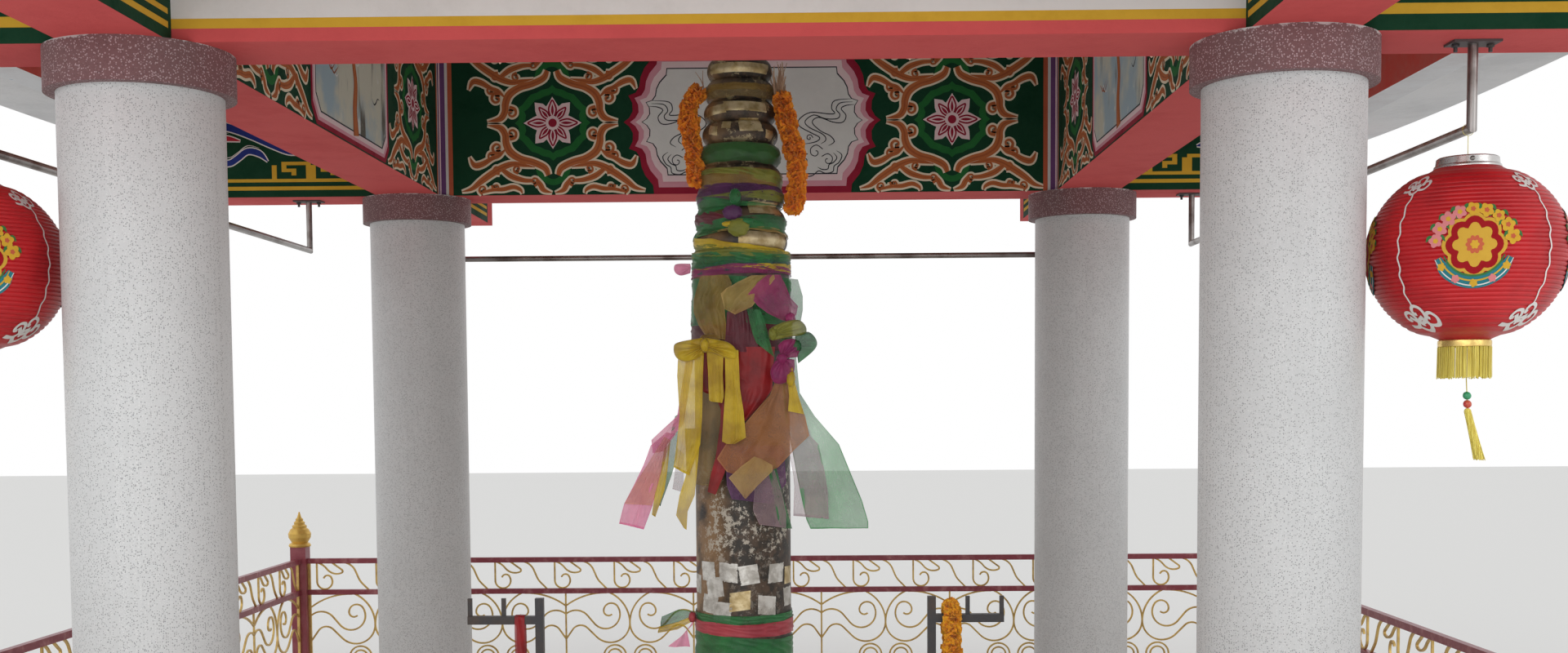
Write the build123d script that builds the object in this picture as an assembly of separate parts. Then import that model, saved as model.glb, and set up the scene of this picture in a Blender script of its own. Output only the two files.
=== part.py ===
from build123d import *
import os
from math import cos, radians, sin

# City pillar shrine: an open square pavilion on four round columns.
# Origin: ground level at the centre of the pavilion, +Z up, the open
# entrance towards -Y. All sizes are millimetres.

# Plan and levels
column_spacing = 2900.0
column_radius = 202.0
platform_height = 120.0
platform_chamfer = 12.0
beam_underside = 2420.0
beam_width = 264.0
beam_height = 620.0
cantilever_height = 380.0
ceiling_thickness = 100.0

# Collars
collar_radius = 231.0
collar_height = 108.0

# Edge beams and eaves
edge_beam_inner = 890.0
edge_beam_width = 120.0
edge_beam_rise = 220.0
eave_reach = 290.0
eave_rise = 2.0
eave_edge_height = 72.0
eave_corner_lift = 130.0
eave_corner_reach = 70.0

# Roof: each slope is a curve through a start, a knee and a top
roof_start_above_arm = 60.0
roof_knee_above_beam = 240.0
roof_top_above_beam = 1100.0
roof_knee_half = 1250.0
roof_top_half = 150.0
roof_shell = 60.0
ridge_width = 90.0
ridge_height = 75.0
rib_pitch = 205.0
rib_width = 92.0
rib_foot = 8.0
rib_rise = 46.0
finial_height = 420.0
finial_radius = 120.0
finial_plinth_height = 20.0

# City pillar
pillar_x = 20.0
pillar_shaft_radius = 165.0
pillar_base_width = 640.0
pillar_base_height = 200.0
pillar_base_chamfer = 30.0
ring_pitch = 73.0
ring_count = 10
ring_depth = 16.0
ring_top_radius = 106.0
ring_bottom_radius = 160.0
ring_top_level = 2772.0
ring_taper_height = 60.0
bud_height = 210.0

# Cloths on the pillar
cloth_gap = 0.3
cut_past = 1.0
cloth_thickness = 5.0
wrap_low = 1950.0
wrap_high = 2318.0
wrap_fullness = 7.0
wrap_slack_low = 4.6
wrap_slack_high = 1.0
band_low = 2336.0
band_high = 2403.0
top_band_low = 2555.0
top_band_high = 2604.0
knot_radius = 198.0
knot_low = 1700.0
knot_shift_x = 14.0
knot_shift_y = -16.0
bow_height = 76.0
bow_depth = 56.0
bow_round = 16.0
sash_low = 640.0
sash_high = 804.0
sash_fullness = 14.0
garland_radius = 31.0
garland_front = 40.0
garland_bend = 45.0

# Railing
railing_offset = 810.0
railing_top = 772.0
railing_second = 617.0
railing_bottom = 235.0
rail_size = 25.0
end_bar = 12.5
scroll_rod = 8.0
scroll_seat = 2.0
small_scroll_pitch = 290.0
large_scroll_pitch = 630.0
scroll_lead = 0.1
post_size = 75.0
post_top = 830.0
post_finial_radius = 54.0
post_finial_height = 173.0
platform_margin = 110.0
gate_width = 1200.0

# Lantern rails and lanterns
tube_radius = 12.7
tube_offset = 475.0
tube_drop = 215.0
plate_length = 120.0
plate_width = 70.0
plate_thickness = 6.0
lantern_radius = 243.0
lantern_height = 434.0
lantern_cap_radius = 81.0
lantern_cap_height = 32.0
lantern_hang = 54.0
lantern_ring_radius = 61.0
lantern_ring_height = 18.0
fringe_length = 82.0
fringe_flare = 6.0
bead_radius = 11.0
bead_string = 75.0
tassel_length = 135.0
tassel_radius = 16.0
thread_width = 1.5
thread_gap = 1.2
thread_seat = 0.3
thread_offset = 20.0

# Garland racks
rack_offset = 600.0
rack_y = -700.0
rack_tube = 25.0
rack_prong = 12.7
rack_top = 931.0
rack_arm_level = 864.0
rack_arm_length = 220.0
rack_foot = 300.0
rack_hang_share = 0.27
rack_garland_radius = 40.0
rack_garland_length = 420.0
ribbon_width = 30.0
ribbon_length = 330.0
ribbon_thickness = 2.0

half = column_spacing / 2
edge_inner = half + edge_beam_inner
edge_outer = edge_inner + edge_beam_width
fence_line = half + railing_offset
platform_half = fence_line + platform_margin
beam_top = beam_underside + beam_height
roof_start = beam_underside + cantilever_height + roof_start_above_arm
roof_knee = beam_top + roof_knee_above_beam
roof_top = beam_top + roof_top_above_beam
pillar_foot = platform_height + pillar_base_height
post_half = post_size / 2

os.makedirs("parts", exist_ok=True)


def save(shape, node):
    export_step(shape, f"parts/{node}.step")


def block(x_range, y_range, z_range):
    """A box between two corners, given in any order."""
    ranges = (x_range, y_range, z_range)
    size = [abs(b - a) for a, b in ranges]
    centre = [(a + b) / 2 for a, b in ranges]
    return Pos(*centre) * Box(*size)


def drum(radius, z_low, z_high, x=0.0, y=0.0):
    """An upright cylinder between two levels."""
    return Pos(x, y, (z_low + z_high) / 2) * Cylinder(radius, z_high - z_low)


def sleeve(inner, thickness, z_low, z_high, x):
    """A round band of even thickness."""
    return drum(inner + thickness, z_low, z_high, x) - drum(inner, z_low - 1, z_high + 1, x)


def turned(points, x=0.0, y=0.0):
    """A turned solid from (radius, level) points, joined by straight lines."""
    outline = [(0, 0, points[0][1])]
    outline += [(r, 0, z) for r, z in points]
    outline += [(0, 0, points[-1][1])]
    return Pos(x, y, 0) * revolve(make_face(Polyline(*outline, close=True)), Axis.Z)


def curved_slab(top, bottom):
    """A closed solid between two nets of control points of one shape."""
    def border(row_a, row_b):
        return Face.make_surface_from_curves(Bezier(*row_a), Bezier(*row_b))
    faces = [Face.make_bezier_surface(top), Face.make_bezier_surface(bottom)]
    faces.append(border(top[0], bottom[0]))
    faces.append(border(top[-1], bottom[-1]))
    for column in (0, -1):
        faces.append(border([r[column] for r in top], [r[column] for r in bottom]))
    return Solid(Shell(faces))


def around(shape, turns):
    return Rot(0, 0, 90 * turns) * shape


# Platform, columns, collars
def make_base():
    slab = Box(2 * platform_half, 2 * platform_half, platform_height)
    slab = chamfer(slab.faces().sort_by(Axis.Z)[-1].edges(), platform_chamfer)
    save(Pos(0, 0, platform_height / 2) * slab, "platform")
    corners = {"front_left": (-1, -1), "front_right": (1, -1),
               "back_left": (-1, 1), "back_right": (1, 1)}
    collar_low = beam_underside - collar_height
    for name, (sx, sy) in corners.items():
        column = drum(column_radius, platform_height, collar_low, sx * half, sy * half)
        save(column, f"column_{name}")
        collar = drum(collar_radius, collar_low, beam_underside, sx * half, sy * half)
        save(collar, f"collar_{name}")


# Crossing beams that run out as cantilevers
def make_beams():
    b = beam_width / 2
    low = beam_underside
    levels = (low, beam_top)
    arm_levels = (low, low + cantilever_height)
    end_levels = (low, low + edge_beam_rise)
    for name, side in (("front", -1), ("back", 1)):
        y_range = (side * half - b, side * half + b)
        beam = block((-half - b, half + b), y_range, levels)
        beam += block((-edge_inner, edge_inner), y_range, arm_levels)
        beam += block((-edge_outer, edge_outer), y_range, end_levels)
        save(beam, f"beam_{name}")
    for name, side in (("left", -1), ("right", 1)):
        x_range = (side * half - b, side * half + b)
        solids = [block(x_range, (-half + b, half - b), levels)]
        for end in (-1, 1):
            near = end * (half + b)
            arm = block(x_range, (near, end * edge_inner), arm_levels)
            arm += block(x_range, (near, end * edge_outer), end_levels)
            solids.append(arm)
        save(Compound(solids), f"beam_{name}")
    inner = half + b
    save(block((-inner, inner), (-inner, inner), (beam_top, beam_top + ceiling_thickness)),
         "ceiling_slab")


def make_ribs(stations):
    """Round tile ribs of the front slope, from the eave up to the hip ridges."""
    (foot_reach, foot_level), (knee_reach, knee_level), (top_reach, top_level) = stations
    beside_ridge = (ridge_width / 2 + cloth_gap) * 2 ** 0.5

    def share_at(reach):
        """How far up the slope's curve it has come in to this reach."""
        a = foot_reach - 2 * knee_reach + top_reach
        b = 2 * (knee_reach - foot_reach)
        return (-b - (b * b - 4 * a * (foot_reach - reach)) ** 0.5) / (2 * a)

    def run(x, lift):
        """Control points of the slope's curve at x, up to where the rib ends."""
        t = share_at(max(abs(x) + beside_ridge, top_reach))
        middle = (foot_reach + t * (knee_reach - foot_reach),
                  foot_level + t * (knee_level - foot_level))
        above = (knee_reach + t * (top_reach - knee_reach),
                 knee_level + t * (top_level - knee_level))
        end = [m + t * (n - m) for m, n in zip(middle, above)]
        return [(x, -reach, level + lift)
                for reach, level in ((foot_reach, foot_level), middle, end)]

    side = rib_width / 2
    crown = rib_foot + (rib_rise - rib_foot) * 4 / 3
    count = int((foot_reach - beside_ridge - 2 * side) / rib_pitch)
    ribs = []
    for index in range(-count, count + 1):
        x = index * rib_pitch
        top = [run(x - side, rib_foot), run(x - side, crown),
               run(x + side, crown), run(x + side, rib_foot)]
        bottom = [run(x + u * side, 0) for u in (-1, -1 / 3, 1 / 3, 1)]
        ribs.append(curved_slab(list(zip(*top)), list(zip(*bottom))))
    return ribs


# Edge beams, eaves and roof slopes
def make_roof():
    low = beam_underside + edge_beam_rise
    levels = (low, beam_underside + cantilever_height)
    fronts = [block((-edge_outer, edge_outer), (s * edge_inner, s * edge_outer), levels)
              for s in (-1, 1)]
    sides = [block((s * edge_inner, s * edge_outer), (-edge_inner, edge_inner), levels)
             for s in (-1, 1)]
    save(Compound(fronts), "edge_beams_front_back")
    save(Compound(sides), "edge_beams_sides")

    shares = (-1, -0.6, -0.2, 0.2, 0.6, 1)

    def straight_row(reach, level):
        return [(u * reach, -reach, level) for u in shares]

    def lifted_row(reach, level):
        corner = reach + eave_corner_reach
        lift = level + eave_corner_lift
        return [(-corner, -corner, lift), *straight_row(reach, level)[1:-1],
                (corner, -corner, lift)]

    outer = edge_outer + eave_reach
    eave_low = low + eave_rise
    eave = curved_slab(
        [straight_row(edge_outer, roof_start), lifted_row(outer, eave_low + eave_edge_height)],
        [straight_row(edge_outer, low), lifted_row(outer, eave_low)])
    save(Compound([around(eave, 0), around(eave, 2)]), "eaves_front_back")
    save(Compound([around(eave, 1), around(eave, 3)]), "eaves_sides")

    stations = ((edge_outer, roof_start), (roof_knee_half, roof_knee), (roof_top_half, roof_top))

    def slope_rows(drop):
        return [[(-reach, -reach, level - drop), (reach, -reach, level - drop)]
                for reach, level in stations]

    slope = curved_slab(slope_rows(0), slope_rows(roof_shell))
    for turns, name in enumerate(("front", "right", "back", "left")):
        save(around(slope, turns), f"roof_slope_{name}")
    ribs = make_ribs(stations)
    save(Compound([around(rib, turns) for turns in (0, 2) for rib in ribs]),
         "roof_tiles_front_back")
    save(Compound([around(rib, turns) for turns in (1, 3) for rib in ribs]),
         "roof_tiles_sides")

    # Hip ridges follow the corner curves of the slopes.
    low_curve = Bezier(*[(reach * 2 ** 0.5, 0, level) for reach, level in stations])
    high_curve = Bezier(*[(reach * 2 ** 0.5, 0, level + ridge_height)
                          for reach, level in stations])
    ends = [Line(low_curve @ t, high_curve @ t) for t in (0, 1)]
    profile = make_face([low_curve, ends[1], high_curve, ends[0]])
    ridge = extrude(profile, ridge_width / 2, dir=(0, 1, 0), both=True)
    save(Compound([Rot(0, 0, 45 + 90 * i) * ridge for i in range(4)]), "hip_ridges")

    r, h = finial_radius, finial_height
    cap = roof_top_half - cloth_gap
    foot = roof_top + finial_plinth_height
    plinth = block((-cap, cap), (-cap, cap), (roof_top - roof_shell, foot))
    bulb = turned([(r, foot), (r * 1.1, foot + h * 0.08), (r * 0.7, foot + h * 0.16),
                   (r * 0.95, foot + h * 0.34), (r * 0.5, foot + h * 0.56),
                   (r * 0.25, foot + h * 0.81), (r * 0.05, foot + h)])
    save(plinth + bulb, "roof_finial")


# City pillar with its ring mouldings and bud
def ring_radius(index):
    share = index / (ring_count - 1)
    return ring_top_radius + share * (ring_bottom_radius - ring_top_radius)


def ring_at(level):
    """The index of the ring that a level cuts."""
    return int((ring_top_level - level) // ring_pitch)


def make_pillar():
    base_half = pillar_base_width / 2
    base = block((pillar_x - base_half, pillar_x + base_half), (-base_half, base_half),
                 (platform_height, pillar_foot))
    base = chamfer(base.faces().sort_by(Axis.Z)[-1].edges(), pillar_base_chamfer)
    save(base, "pillar_base")

    rings_low = ring_top_level - ring_count * ring_pitch
    neck = ring_radius(0) - ring_depth
    bud_waist = (neck * 0.55, ring_top_level + bud_height * 0.7)
    bud_top = ring_top_level + bud_height
    with BuildLine(Plane.XZ) as outline:
        Polyline((0, pillar_foot), (pillar_shaft_radius, pillar_foot),
                 (pillar_shaft_radius, rings_low - ring_taper_height),
                 (ring_bottom_radius - ring_depth, rings_low))
        for index in reversed(range(ring_count)):
            low = ring_top_level - (index + 1) * ring_pitch
            neck_low = ring_radius(index) - ring_depth
            neck_high = ring_radius(max(index - 1, 0)) - ring_depth
            ThreePointArc((neck_low, low), (ring_radius(index), low + ring_pitch / 2),
                          (neck_high, low + ring_pitch))
        ThreePointArc((neck, ring_top_level), (neck * 1.05, ring_top_level + bud_height / 3),
                      bud_waist)
        Polyline(bud_waist, (0, bud_top), (0, pillar_foot))
    pillar = revolve(make_face(outline.line), Axis.Z)
    save(Pos(pillar_x, 0, 0) * pillar, "city_pillar")


# Cloths tied round the pillar, and the tails that hang from their knots.
# Outlines are (x from the pillar's axis, level below the knots or the bows).
tail_outlines = {
    "left": [(-152, 0), (-182, 0), (-250, -242), (-310, -315), (-398, -511), (-420, -581),
             (-338, -606), (-258, -434), (-200, -260), (-156, -140)],
    "front": [(-110, 0), (96, 0), (96, -122), (20, -254), (-37, -324), (-77, -470),
              (-108, -470), (-100, -351), (-67, -198), (-110, -128)],
    "yellow": [(-206, 0), (-203, -112), (-212, -273), (-227, -356), (-171, -385),
               (-203, -427), (-221, -525), (-187, -567), (-179, -511), (-150, -420),
               (-142, -273), (-118, -30), (-106, -30), (-102, -127), (-70, -137),
               (-53, -30), (-50, -162), (-61, -270), (-23, -288), (19, -260), (3, -120),
               (-20, 0)],
    "veil": [(120, 0), (200, 0), (181, -99), (215, -190), (232, -252), (159, -301),
             (74, -391), (18, -458), (-45, -384), (-79, -320), (20, -216), (104, -112)],
    "right": [(130, 0), (236, 0), (250, -183), (340, -302), (416, -442), (430, -555),
              (297, -582), (227, -575), (171, -511), (144, -301)],
}
# Each tail hangs in its own upright plane: distance in front of the axis.
tail_planes = {"left": 104.0, "front": 190.0, "yellow": 229.0, "veil": 212.0, "right": 198.0}
bows = {"left": (-222.0, -6.0, -225.0), "right": (105.0, 255.0, -205.0)}
sash_tail = [(-170, 0), (-289, -24), (-296, -60), (-250, -120), (-170, -60)]


def make_cloths():
    round_pillar = max(pillar_shaft_radius, ring_bottom_radius) + cloth_gap
    low_inner = max(pillar_shaft_radius, ring_bottom_radius) + wrap_slack_low
    high_inner = ring_radius(ring_at(wrap_high)) + wrap_slack_high
    section = Polyline((low_inner, 0, wrap_low), (low_inner + wrap_fullness, 0, wrap_low),
                       (high_inner + wrap_fullness, 0, wrap_high), (high_inner, 0, wrap_high),
                       close=True)
    save(Pos(pillar_x, 0, 0) * revolve(make_face(section), Axis.Z), "cloth_wraps")

    bands = []
    for low, high in ((band_low, band_high), (top_band_low, top_band_high)):
        inner = ring_radius(ring_at(low)) + cloth_gap
        bands.append(sleeve(inner, cloth_thickness, low, high, pillar_x))
    save(Compound(bands), "cloth_bands")

    knots = drum(knot_radius, knot_low, wrap_low, pillar_x + knot_shift_x, knot_shift_y)
    bow_low = knot_low + bow_height / 2 - bow_height
    for x_low, x_high, y in bows.values():
        bow = block((pillar_x + x_low, pillar_x + x_high),
                    (y - bow_depth / 2, y + bow_depth / 2), (bow_low, bow_low + bow_height))
        knots += fillet(bow.edges(), bow_round)
    knots -= drum(round_pillar, bow_low - cut_past, wrap_low + cut_past, pillar_x)
    save(knots, "cloth_knots")

    hangs_from = {"left": knot_low, "front": knot_low}
    for name, points in tail_outlines.items():
        top = hangs_from.get(name, bow_low) - cloth_gap
        y = -tail_planes[name]
        corners = [(x + pillar_x, y, top + z) for x, z in points]
        face = make_face(Polyline(*corners, close=True))
        save(extrude(face, cloth_thickness, dir=(0, 1, 0)), f"cloth_tail_{name}")

    sash = sleeve(round_pillar, sash_fullness, sash_low, sash_high, pillar_x)
    corners = [(x + pillar_x, -garland_front, sash_high + z) for x, z in sash_tail]
    tail = extrude(make_face(Polyline(*corners, close=True)), cloth_thickness, dir=(0, 1, 0))
    hole = drum(round_pillar, sash_low, sash_high, pillar_x)
    save(sash + (tail - hole), "cloth_sash")


def make_garlands():
    routes = {
        "left": [(-149, 2598), (-149.2, 2572), (-180, 2500), (-173, 2430), (-170.5, 2330)],
        "right": [(149, 2590), (150, 2540), (176, 2460), (190, 2400), (198, 2330), (188, 2228)]}
    for name, route in routes.items():
        points = [(x + pillar_x, -garland_front, z) for x, z in route]
        path = FilletPolyline(*points, radius=garland_bend)
        section = Plane(path @ 0, z_dir=path % 0) * Circle(garland_radius)
        save(sweep(section, path=path), f"garland_{name}")


# Garland racks: a post with an arm and two prongs
def make_racks():
    t = rack_tube / 2
    p = rack_prong / 2
    y_range = (rack_y - t, rack_y + t)
    foot_levels = (platform_height, platform_height + rack_tube)
    for name, side in (("left", -1), ("right", 1)):
        x = side * rack_offset + pillar_x
        rack = block((x - t, x + t), y_range, (foot_levels[1], rack_top))
        rack += block((x, x + side * rack_arm_length), y_range,
                      (rack_arm_level - t, rack_arm_level + t))
        for out in (rack_arm_length / 2, rack_arm_length - p):
            px = x + side * out
            rack += block((px - p, px + p), (rack_y - p, rack_y + p),
                          (rack_arm_level, rack_top))
        rack += block((x - t, x + t), (rack_y - rack_foot / 2, rack_y + rack_foot / 2),
                      foot_levels)
        rack += block((x - rack_foot / 2, x + rack_foot / 2), y_range, foot_levels)
        save(rack, f"rack_{name}")

    def hung(x, reach, thickness, length, open_below):
        """A loop over the arm, closed below or open like a ribbon."""
        over = rack_arm_level + t
        loop = block((x - reach, x + reach), (rack_y - t - thickness, rack_y + t + thickness),
                     (rack_arm_level - length, over + thickness))
        inside = rack_arm_level - length + (-cut_past if open_below else reach)
        loop -= block((x - reach - cut_past, x + reach + cut_past),
                      (rack_y - t - cloth_gap, rack_y + t + cloth_gap),
                      (inside, over + cloth_gap))
        return loop

    hang = rack_offset + rack_arm_length * rack_hang_share
    garland = hung(pillar_x + hang, rack_garland_radius, rack_garland_radius,
                   rack_garland_length, False)
    save(garland, "rack_garland")
    ribbon = hung(pillar_x - hang, ribbon_width / 2, ribbon_thickness + cloth_gap,
                  ribbon_length, True)
    save(ribbon, "rack_ribbon")


# Round tubes under the beams, bent down from bolted plates
def make_lantern_rails():
    low = beam_underside - tube_drop
    top = beam_underside - plate_thickness

    def rail(start, end):
        path = Polyline((*start, top), (*start, low), (*end, low), (*end, top))
        section = Plane(path @ 0, z_dir=(0, 0, -1)) * Circle(tube_radius)
        tube = sweep(section, path=path, transition=Transition.RIGHT)
        for x, y in (start, end):
            tube += Pos(x, y, top + plate_thickness / 2) * Box(
                plate_length, plate_width, plate_thickness)
        return tube
    out = half + tube_offset
    save(rail((-out, -half), (-out, half)), "rail_left")
    save(rail((out, -half), (out, half)), "rail_right")
    save(rail((-half, out), (half, out)), "rail_back")


# Lanterns that hang under the front end of each side rail
def make_lanterns():
    rail_level = beam_underside - tube_drop
    cap_top = rail_level - lantern_hang - tube_radius
    body_top = cap_top - lantern_cap_height
    body_low = body_top - lantern_height
    ring_low = body_low - lantern_ring_height
    fringe_low = ring_low - fringe_length
    string_low = fringe_low - bead_string
    y = -half + thread_offset
    for name, side in (("left", -1), ("right", 1)):
        x = side * (half + tube_offset)
        with BuildLine(Plane.XZ) as outline:
            Line((0, body_top), (lantern_cap_radius, body_top))
            ThreePointArc((lantern_cap_radius, body_top),
                          (lantern_radius, (body_top + body_low) / 2),
                          (lantern_ring_radius, body_low))
            Line((lantern_ring_radius, body_low), (0, body_low))
            Line((0, body_low), (0, body_top))
        shade = Pos(x, y, 0) * revolve(make_face(outline.line), Axis.Z)
        save(shade, f"lantern_{name}_shade")

        inner = tube_radius + thread_gap
        ring_centre = rail_level + thread_seat - thread_gap
        ring = Pos(x, y, ring_centre) * Rot(90, 0, 0) * (
            Cylinder(inner + thread_width, thread_width)
            - Cylinder(inner, 2 * thread_width))
        cap = drum(lantern_cap_radius, body_top, cap_top, x, y)
        wire = drum(thread_width / 2, cap_top, ring_centre - inner - thread_width / 2, x, y)
        save(cap + wire + ring, f"lantern_{name}_cap")

        b, t = bead_radius, thread_width
        beads = string_low + 4 * b
        tassel = turned([
            (lantern_ring_radius, body_low), (lantern_ring_radius, ring_low),
            (lantern_ring_radius + fringe_flare, ring_low),
            (lantern_ring_radius + fringe_flare, fringe_low), (t, fringe_low),
            (t, beads), (b, beads - b), (t, beads - 2 * b), (b, beads - 3 * b),
            (t, string_low), (tassel_radius / 2, string_low),
            (tassel_radius, string_low - tassel_length)], x, y)
        save(tassel, f"lantern_{name}_tassel")


# Low railing round the pavilion
finial_profile = [  # (share of the radius, share of the height)
    (0.92, 0.0), (1.0, 0.04), (0.92, 0.09), (0.72, 0.13), (0.98, 0.27), (1.02, 0.38),
    (0.82, 0.50), (0.62, 0.55), (0.66, 0.60), (0.46, 0.65), (0.50, 0.70), (0.32, 0.75),
    (0.35, 0.79), (0.19, 0.84), (0.05, 1.0)]


def pen(start, heading, moves):
    """A flat chain of arcs and straight runs, drawn as a pen that turns."""
    x, y = start
    edges = []
    for kind, *values in moves:
        if kind == "arc":
            radius, turn = values
            side = 1 if turn > 0 else -1
            cx = x - side * radius * sin(radians(heading))
            cy = y + side * radius * cos(radians(heading))
            edges.append(CenterArc((cx, cy), radius, heading - 90 * side, turn))
            heading += turn
            x = cx + side * radius * sin(radians(heading))
            y = cy - side * radius * cos(radians(heading))
            continue
        if kind == "to_x":
            run = (values[0] - x) / cos(radians(heading))
        elif kind == "to_y":
            run = (values[0] - y) / sin(radians(heading))
        else:
            run = values[0]
        end = (x + run * cos(radians(heading)), y + run * sin(radians(heading)))
        edges.append(Line((x, y), end))
        x, y = end
    return Wire(edges)


def rod_along(flat_path):
    """A square rod along a flat path that stands upright in the XZ plane."""
    path = Plane.XZ * flat_path
    section = Plane(path @ 0, x_dir=(0, 1, 0), z_dir=path % 0) * Rectangle(
        scroll_rod, scroll_rod)
    return sweep(section, path=path)


def small_scrolls(depth):
    """One unit of the upper band, from its top left, depth to the rail below."""
    curl = 38.0
    top, low = scroll_seat, -depth - scroll_seat
    hook = [("to_y", low + scroll_rod / 2 + curl), ("arc", curl, 215), ("arc", 20, 130)]
    wave = [("arc", 85, -35), ("arc", 62, 75), ("arc", 9, 122), ("to_y", top)]
    slant = [("arc", 70, -52), ("run", 38), ("arc", 90, 22), ("to_y", low)]
    return [rod_along(pen((2, top), -90, hook)), rod_along(pen((10, top), -18, wave)),
            rod_along(pen((147, top), -15, slant))]


def large_scrolls(depth, half_pitch):
    """The left half of one unit of the lower band, from the top of its axis."""
    top, low, edge = scroll_seat, -depth - scroll_seat, -half_pitch
    spiral = [("arc", 24, -135), ("arc", 38, -150), ("arc", 72, -170), ("run", 52),
              ("arc", 75, 88), ("to_x", edge)]
    wave = [("arc", 165, -66), ("arc", 97, -135), ("run", 62), ("arc", 48, 100),
            ("to_x", edge)]
    arch = [("arc", 320, 38), ("to_x", edge)]
    rods = [rod_along(pen((-88, -105), 225, spiral)),
            rod_along(pen((-98, top), -24, wave)),
            rod_along(pen((-112, top), 178, arch))]
    for radius in (55, 35):
        hoop = [("run", 46), ("arc", radius, -180), ("to_y", low)]
        rods.append(rod_along(pen((-75 - radius, low), 90, hoop)))
    return rods


def railing_panel(x_low, x_high):
    """Three rails with scroll-work between them, lying along X."""
    s = rail_size / 2
    bars = [block((x_low, x_high), (-s, s), (level - rail_size, level))
            for level in (railing_top, railing_second, railing_bottom)]
    for x in (x_low, x_high - end_bar):
        bars.append(block((x, x + end_bar), (-end_bar / 2, end_bar / 2),
                          (railing_bottom - rail_size, railing_top)))
    length = x_high - x_low - 2 * end_bar
    start = x_low + end_bar

    upper = railing_top - rail_size
    units = int(length / small_scroll_pitch)
    scrolls = small_scrolls(upper - railing_second)
    for index in range(units):
        x = start + (index + scroll_lead) * length / units
        bars += [Pos(x, 0, upper) * scroll for scroll in scrolls]

    lower = railing_second - rail_size
    units = int(length / large_scroll_pitch)
    pitch = length / units
    scrolls = large_scrolls(lower - railing_bottom, pitch / 2)
    scrolls += [mirror(scroll, Plane.YZ) for scroll in scrolls]
    r = scroll_rod / 2
    for index in range(units):
        x = start + (index + 0.5) * pitch
        bars += [Pos(x, 0, lower) * scroll for scroll in scrolls]
        if index:
            edge = x - pitch / 2
            bars.append(block((edge - r, edge + r), (-r, r),
                              (railing_bottom - scroll_seat, lower + scroll_seat)))
    return bars[0].fuse(*bars[1:])


def make_railing():
    gate = gate_width / 2 + post_half
    posts_at = [(sx * fence_line, sy * fence_line) for sx in (-1, 1) for sy in (-1, 1)]
    posts_at += [(-gate, -fence_line), (gate, -fence_line)]
    posts = [block((x - post_half, x + post_half), (y - post_half, y + post_half),
                   (platform_height, post_top)) for x, y in posts_at]
    save(Compound(posts), "railing_posts")
    profile = [(r * post_finial_radius, post_top + z * post_finial_height)
               for r, z in finial_profile]
    save(Compound([turned(profile, x, y) for x, y in posts_at]), "railing_finials")

    inner = fence_line - post_half
    full = railing_panel(-inner, inner)
    save(Pos(0, fence_line, 0) * full, "railing_back")
    save(Pos(-fence_line, 0, 0) * Rot(0, 0, 90) * full, "railing_left")
    save(Pos(fence_line, 0, 0) * Rot(0, 0, 90) * full, "railing_right")
    gate_edge = gate + post_half
    part = railing_panel(gate_edge, inner)
    save(Pos(0, -fence_line, 0) * part, "railing_front_right")
    save(Pos(0, -fence_line, 0) * mirror(part, Plane.YZ), "railing_front_left")


make_base()
make_beams()
make_roof()
make_pillar()
make_cloths()
make_garlands()
make_racks()
make_lantern_rails()
make_lanterns()
make_railing()
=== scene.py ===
import math
import random
import bpy
from mathutils import Matrix, Vector, noise


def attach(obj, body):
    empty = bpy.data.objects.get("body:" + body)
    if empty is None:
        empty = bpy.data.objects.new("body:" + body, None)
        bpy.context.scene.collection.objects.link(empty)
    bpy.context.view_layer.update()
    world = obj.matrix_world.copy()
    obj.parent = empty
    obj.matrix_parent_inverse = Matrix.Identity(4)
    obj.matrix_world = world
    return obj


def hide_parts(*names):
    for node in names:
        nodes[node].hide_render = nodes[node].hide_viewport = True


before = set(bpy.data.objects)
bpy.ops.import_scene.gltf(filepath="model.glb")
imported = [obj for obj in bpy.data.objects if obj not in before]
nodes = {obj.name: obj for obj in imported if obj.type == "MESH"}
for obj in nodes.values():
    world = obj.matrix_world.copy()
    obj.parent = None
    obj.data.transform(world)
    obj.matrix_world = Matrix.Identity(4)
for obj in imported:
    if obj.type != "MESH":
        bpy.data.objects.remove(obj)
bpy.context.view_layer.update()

bpy.ops.object.select_all(action="DESELECT")

# camera at the photograph's place, studio world and floor
camera = {"eye": (0.2315, -5.5266, 1.5226), "yaw": -0.712, "pitch": -3.245, "roll": -0.394,
          "lens": 36.43, "sensor": 36.0, "shift": 0.1063}
studio = {"world": 0.85, "floor": (0.80, 0.80, 0.79), "floorSize": 60, "lampPower": 130.0,
          "aim": (0.0, 0.0, 1.8),
          "lamps": (((-3.5, -7.5, 5.0), 5.0, 1.0), ((5.5, -6.0, 3.5), 4.0, 0.5),
                    ((0.0, -8.0, 1.4), 4.0, 0.42))}

# places on the model that the finishes follow, in metres
pillarX = 0.02
garlandY = -0.04
collarRim = (2.4475, 2.4515)
railBands = ((0.7465, 0.7725), (0.5915, 0.6175), (0.2095, 0.2355))
rack = {"x": 0.6 + 0.22 * 0.27, "y": -0.7, "ribbonTop": 0.8795, "ribbonDrop": 0.33, "ribbonWidth": 0.03}
# the pillar's turned rings, from the top one down
ringGuide = {"top": 2.772, "pitch": 0.073, "count": 10, "high": 0.106, "low": 0.160, "depth": 0.016,
             "shaft": 0.165, "gilded": 2.04}
# where the pillar's lacquer flakes: level ranges, and places across it, seen from the front
flakes = {"start": (1.36, 1.26), "fewer": (0.96, 1.04), "across": (-0.13, -0.06), "tan": (0.0, -0.09)}
# plates that hold the tubes to the beams, and the bolts under them
tubePlate = {"dark": 2.4138, "body": 2.4195, "boltTop": 2.4141, "reach": 0.3, "boltInset": 0.016}


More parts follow.
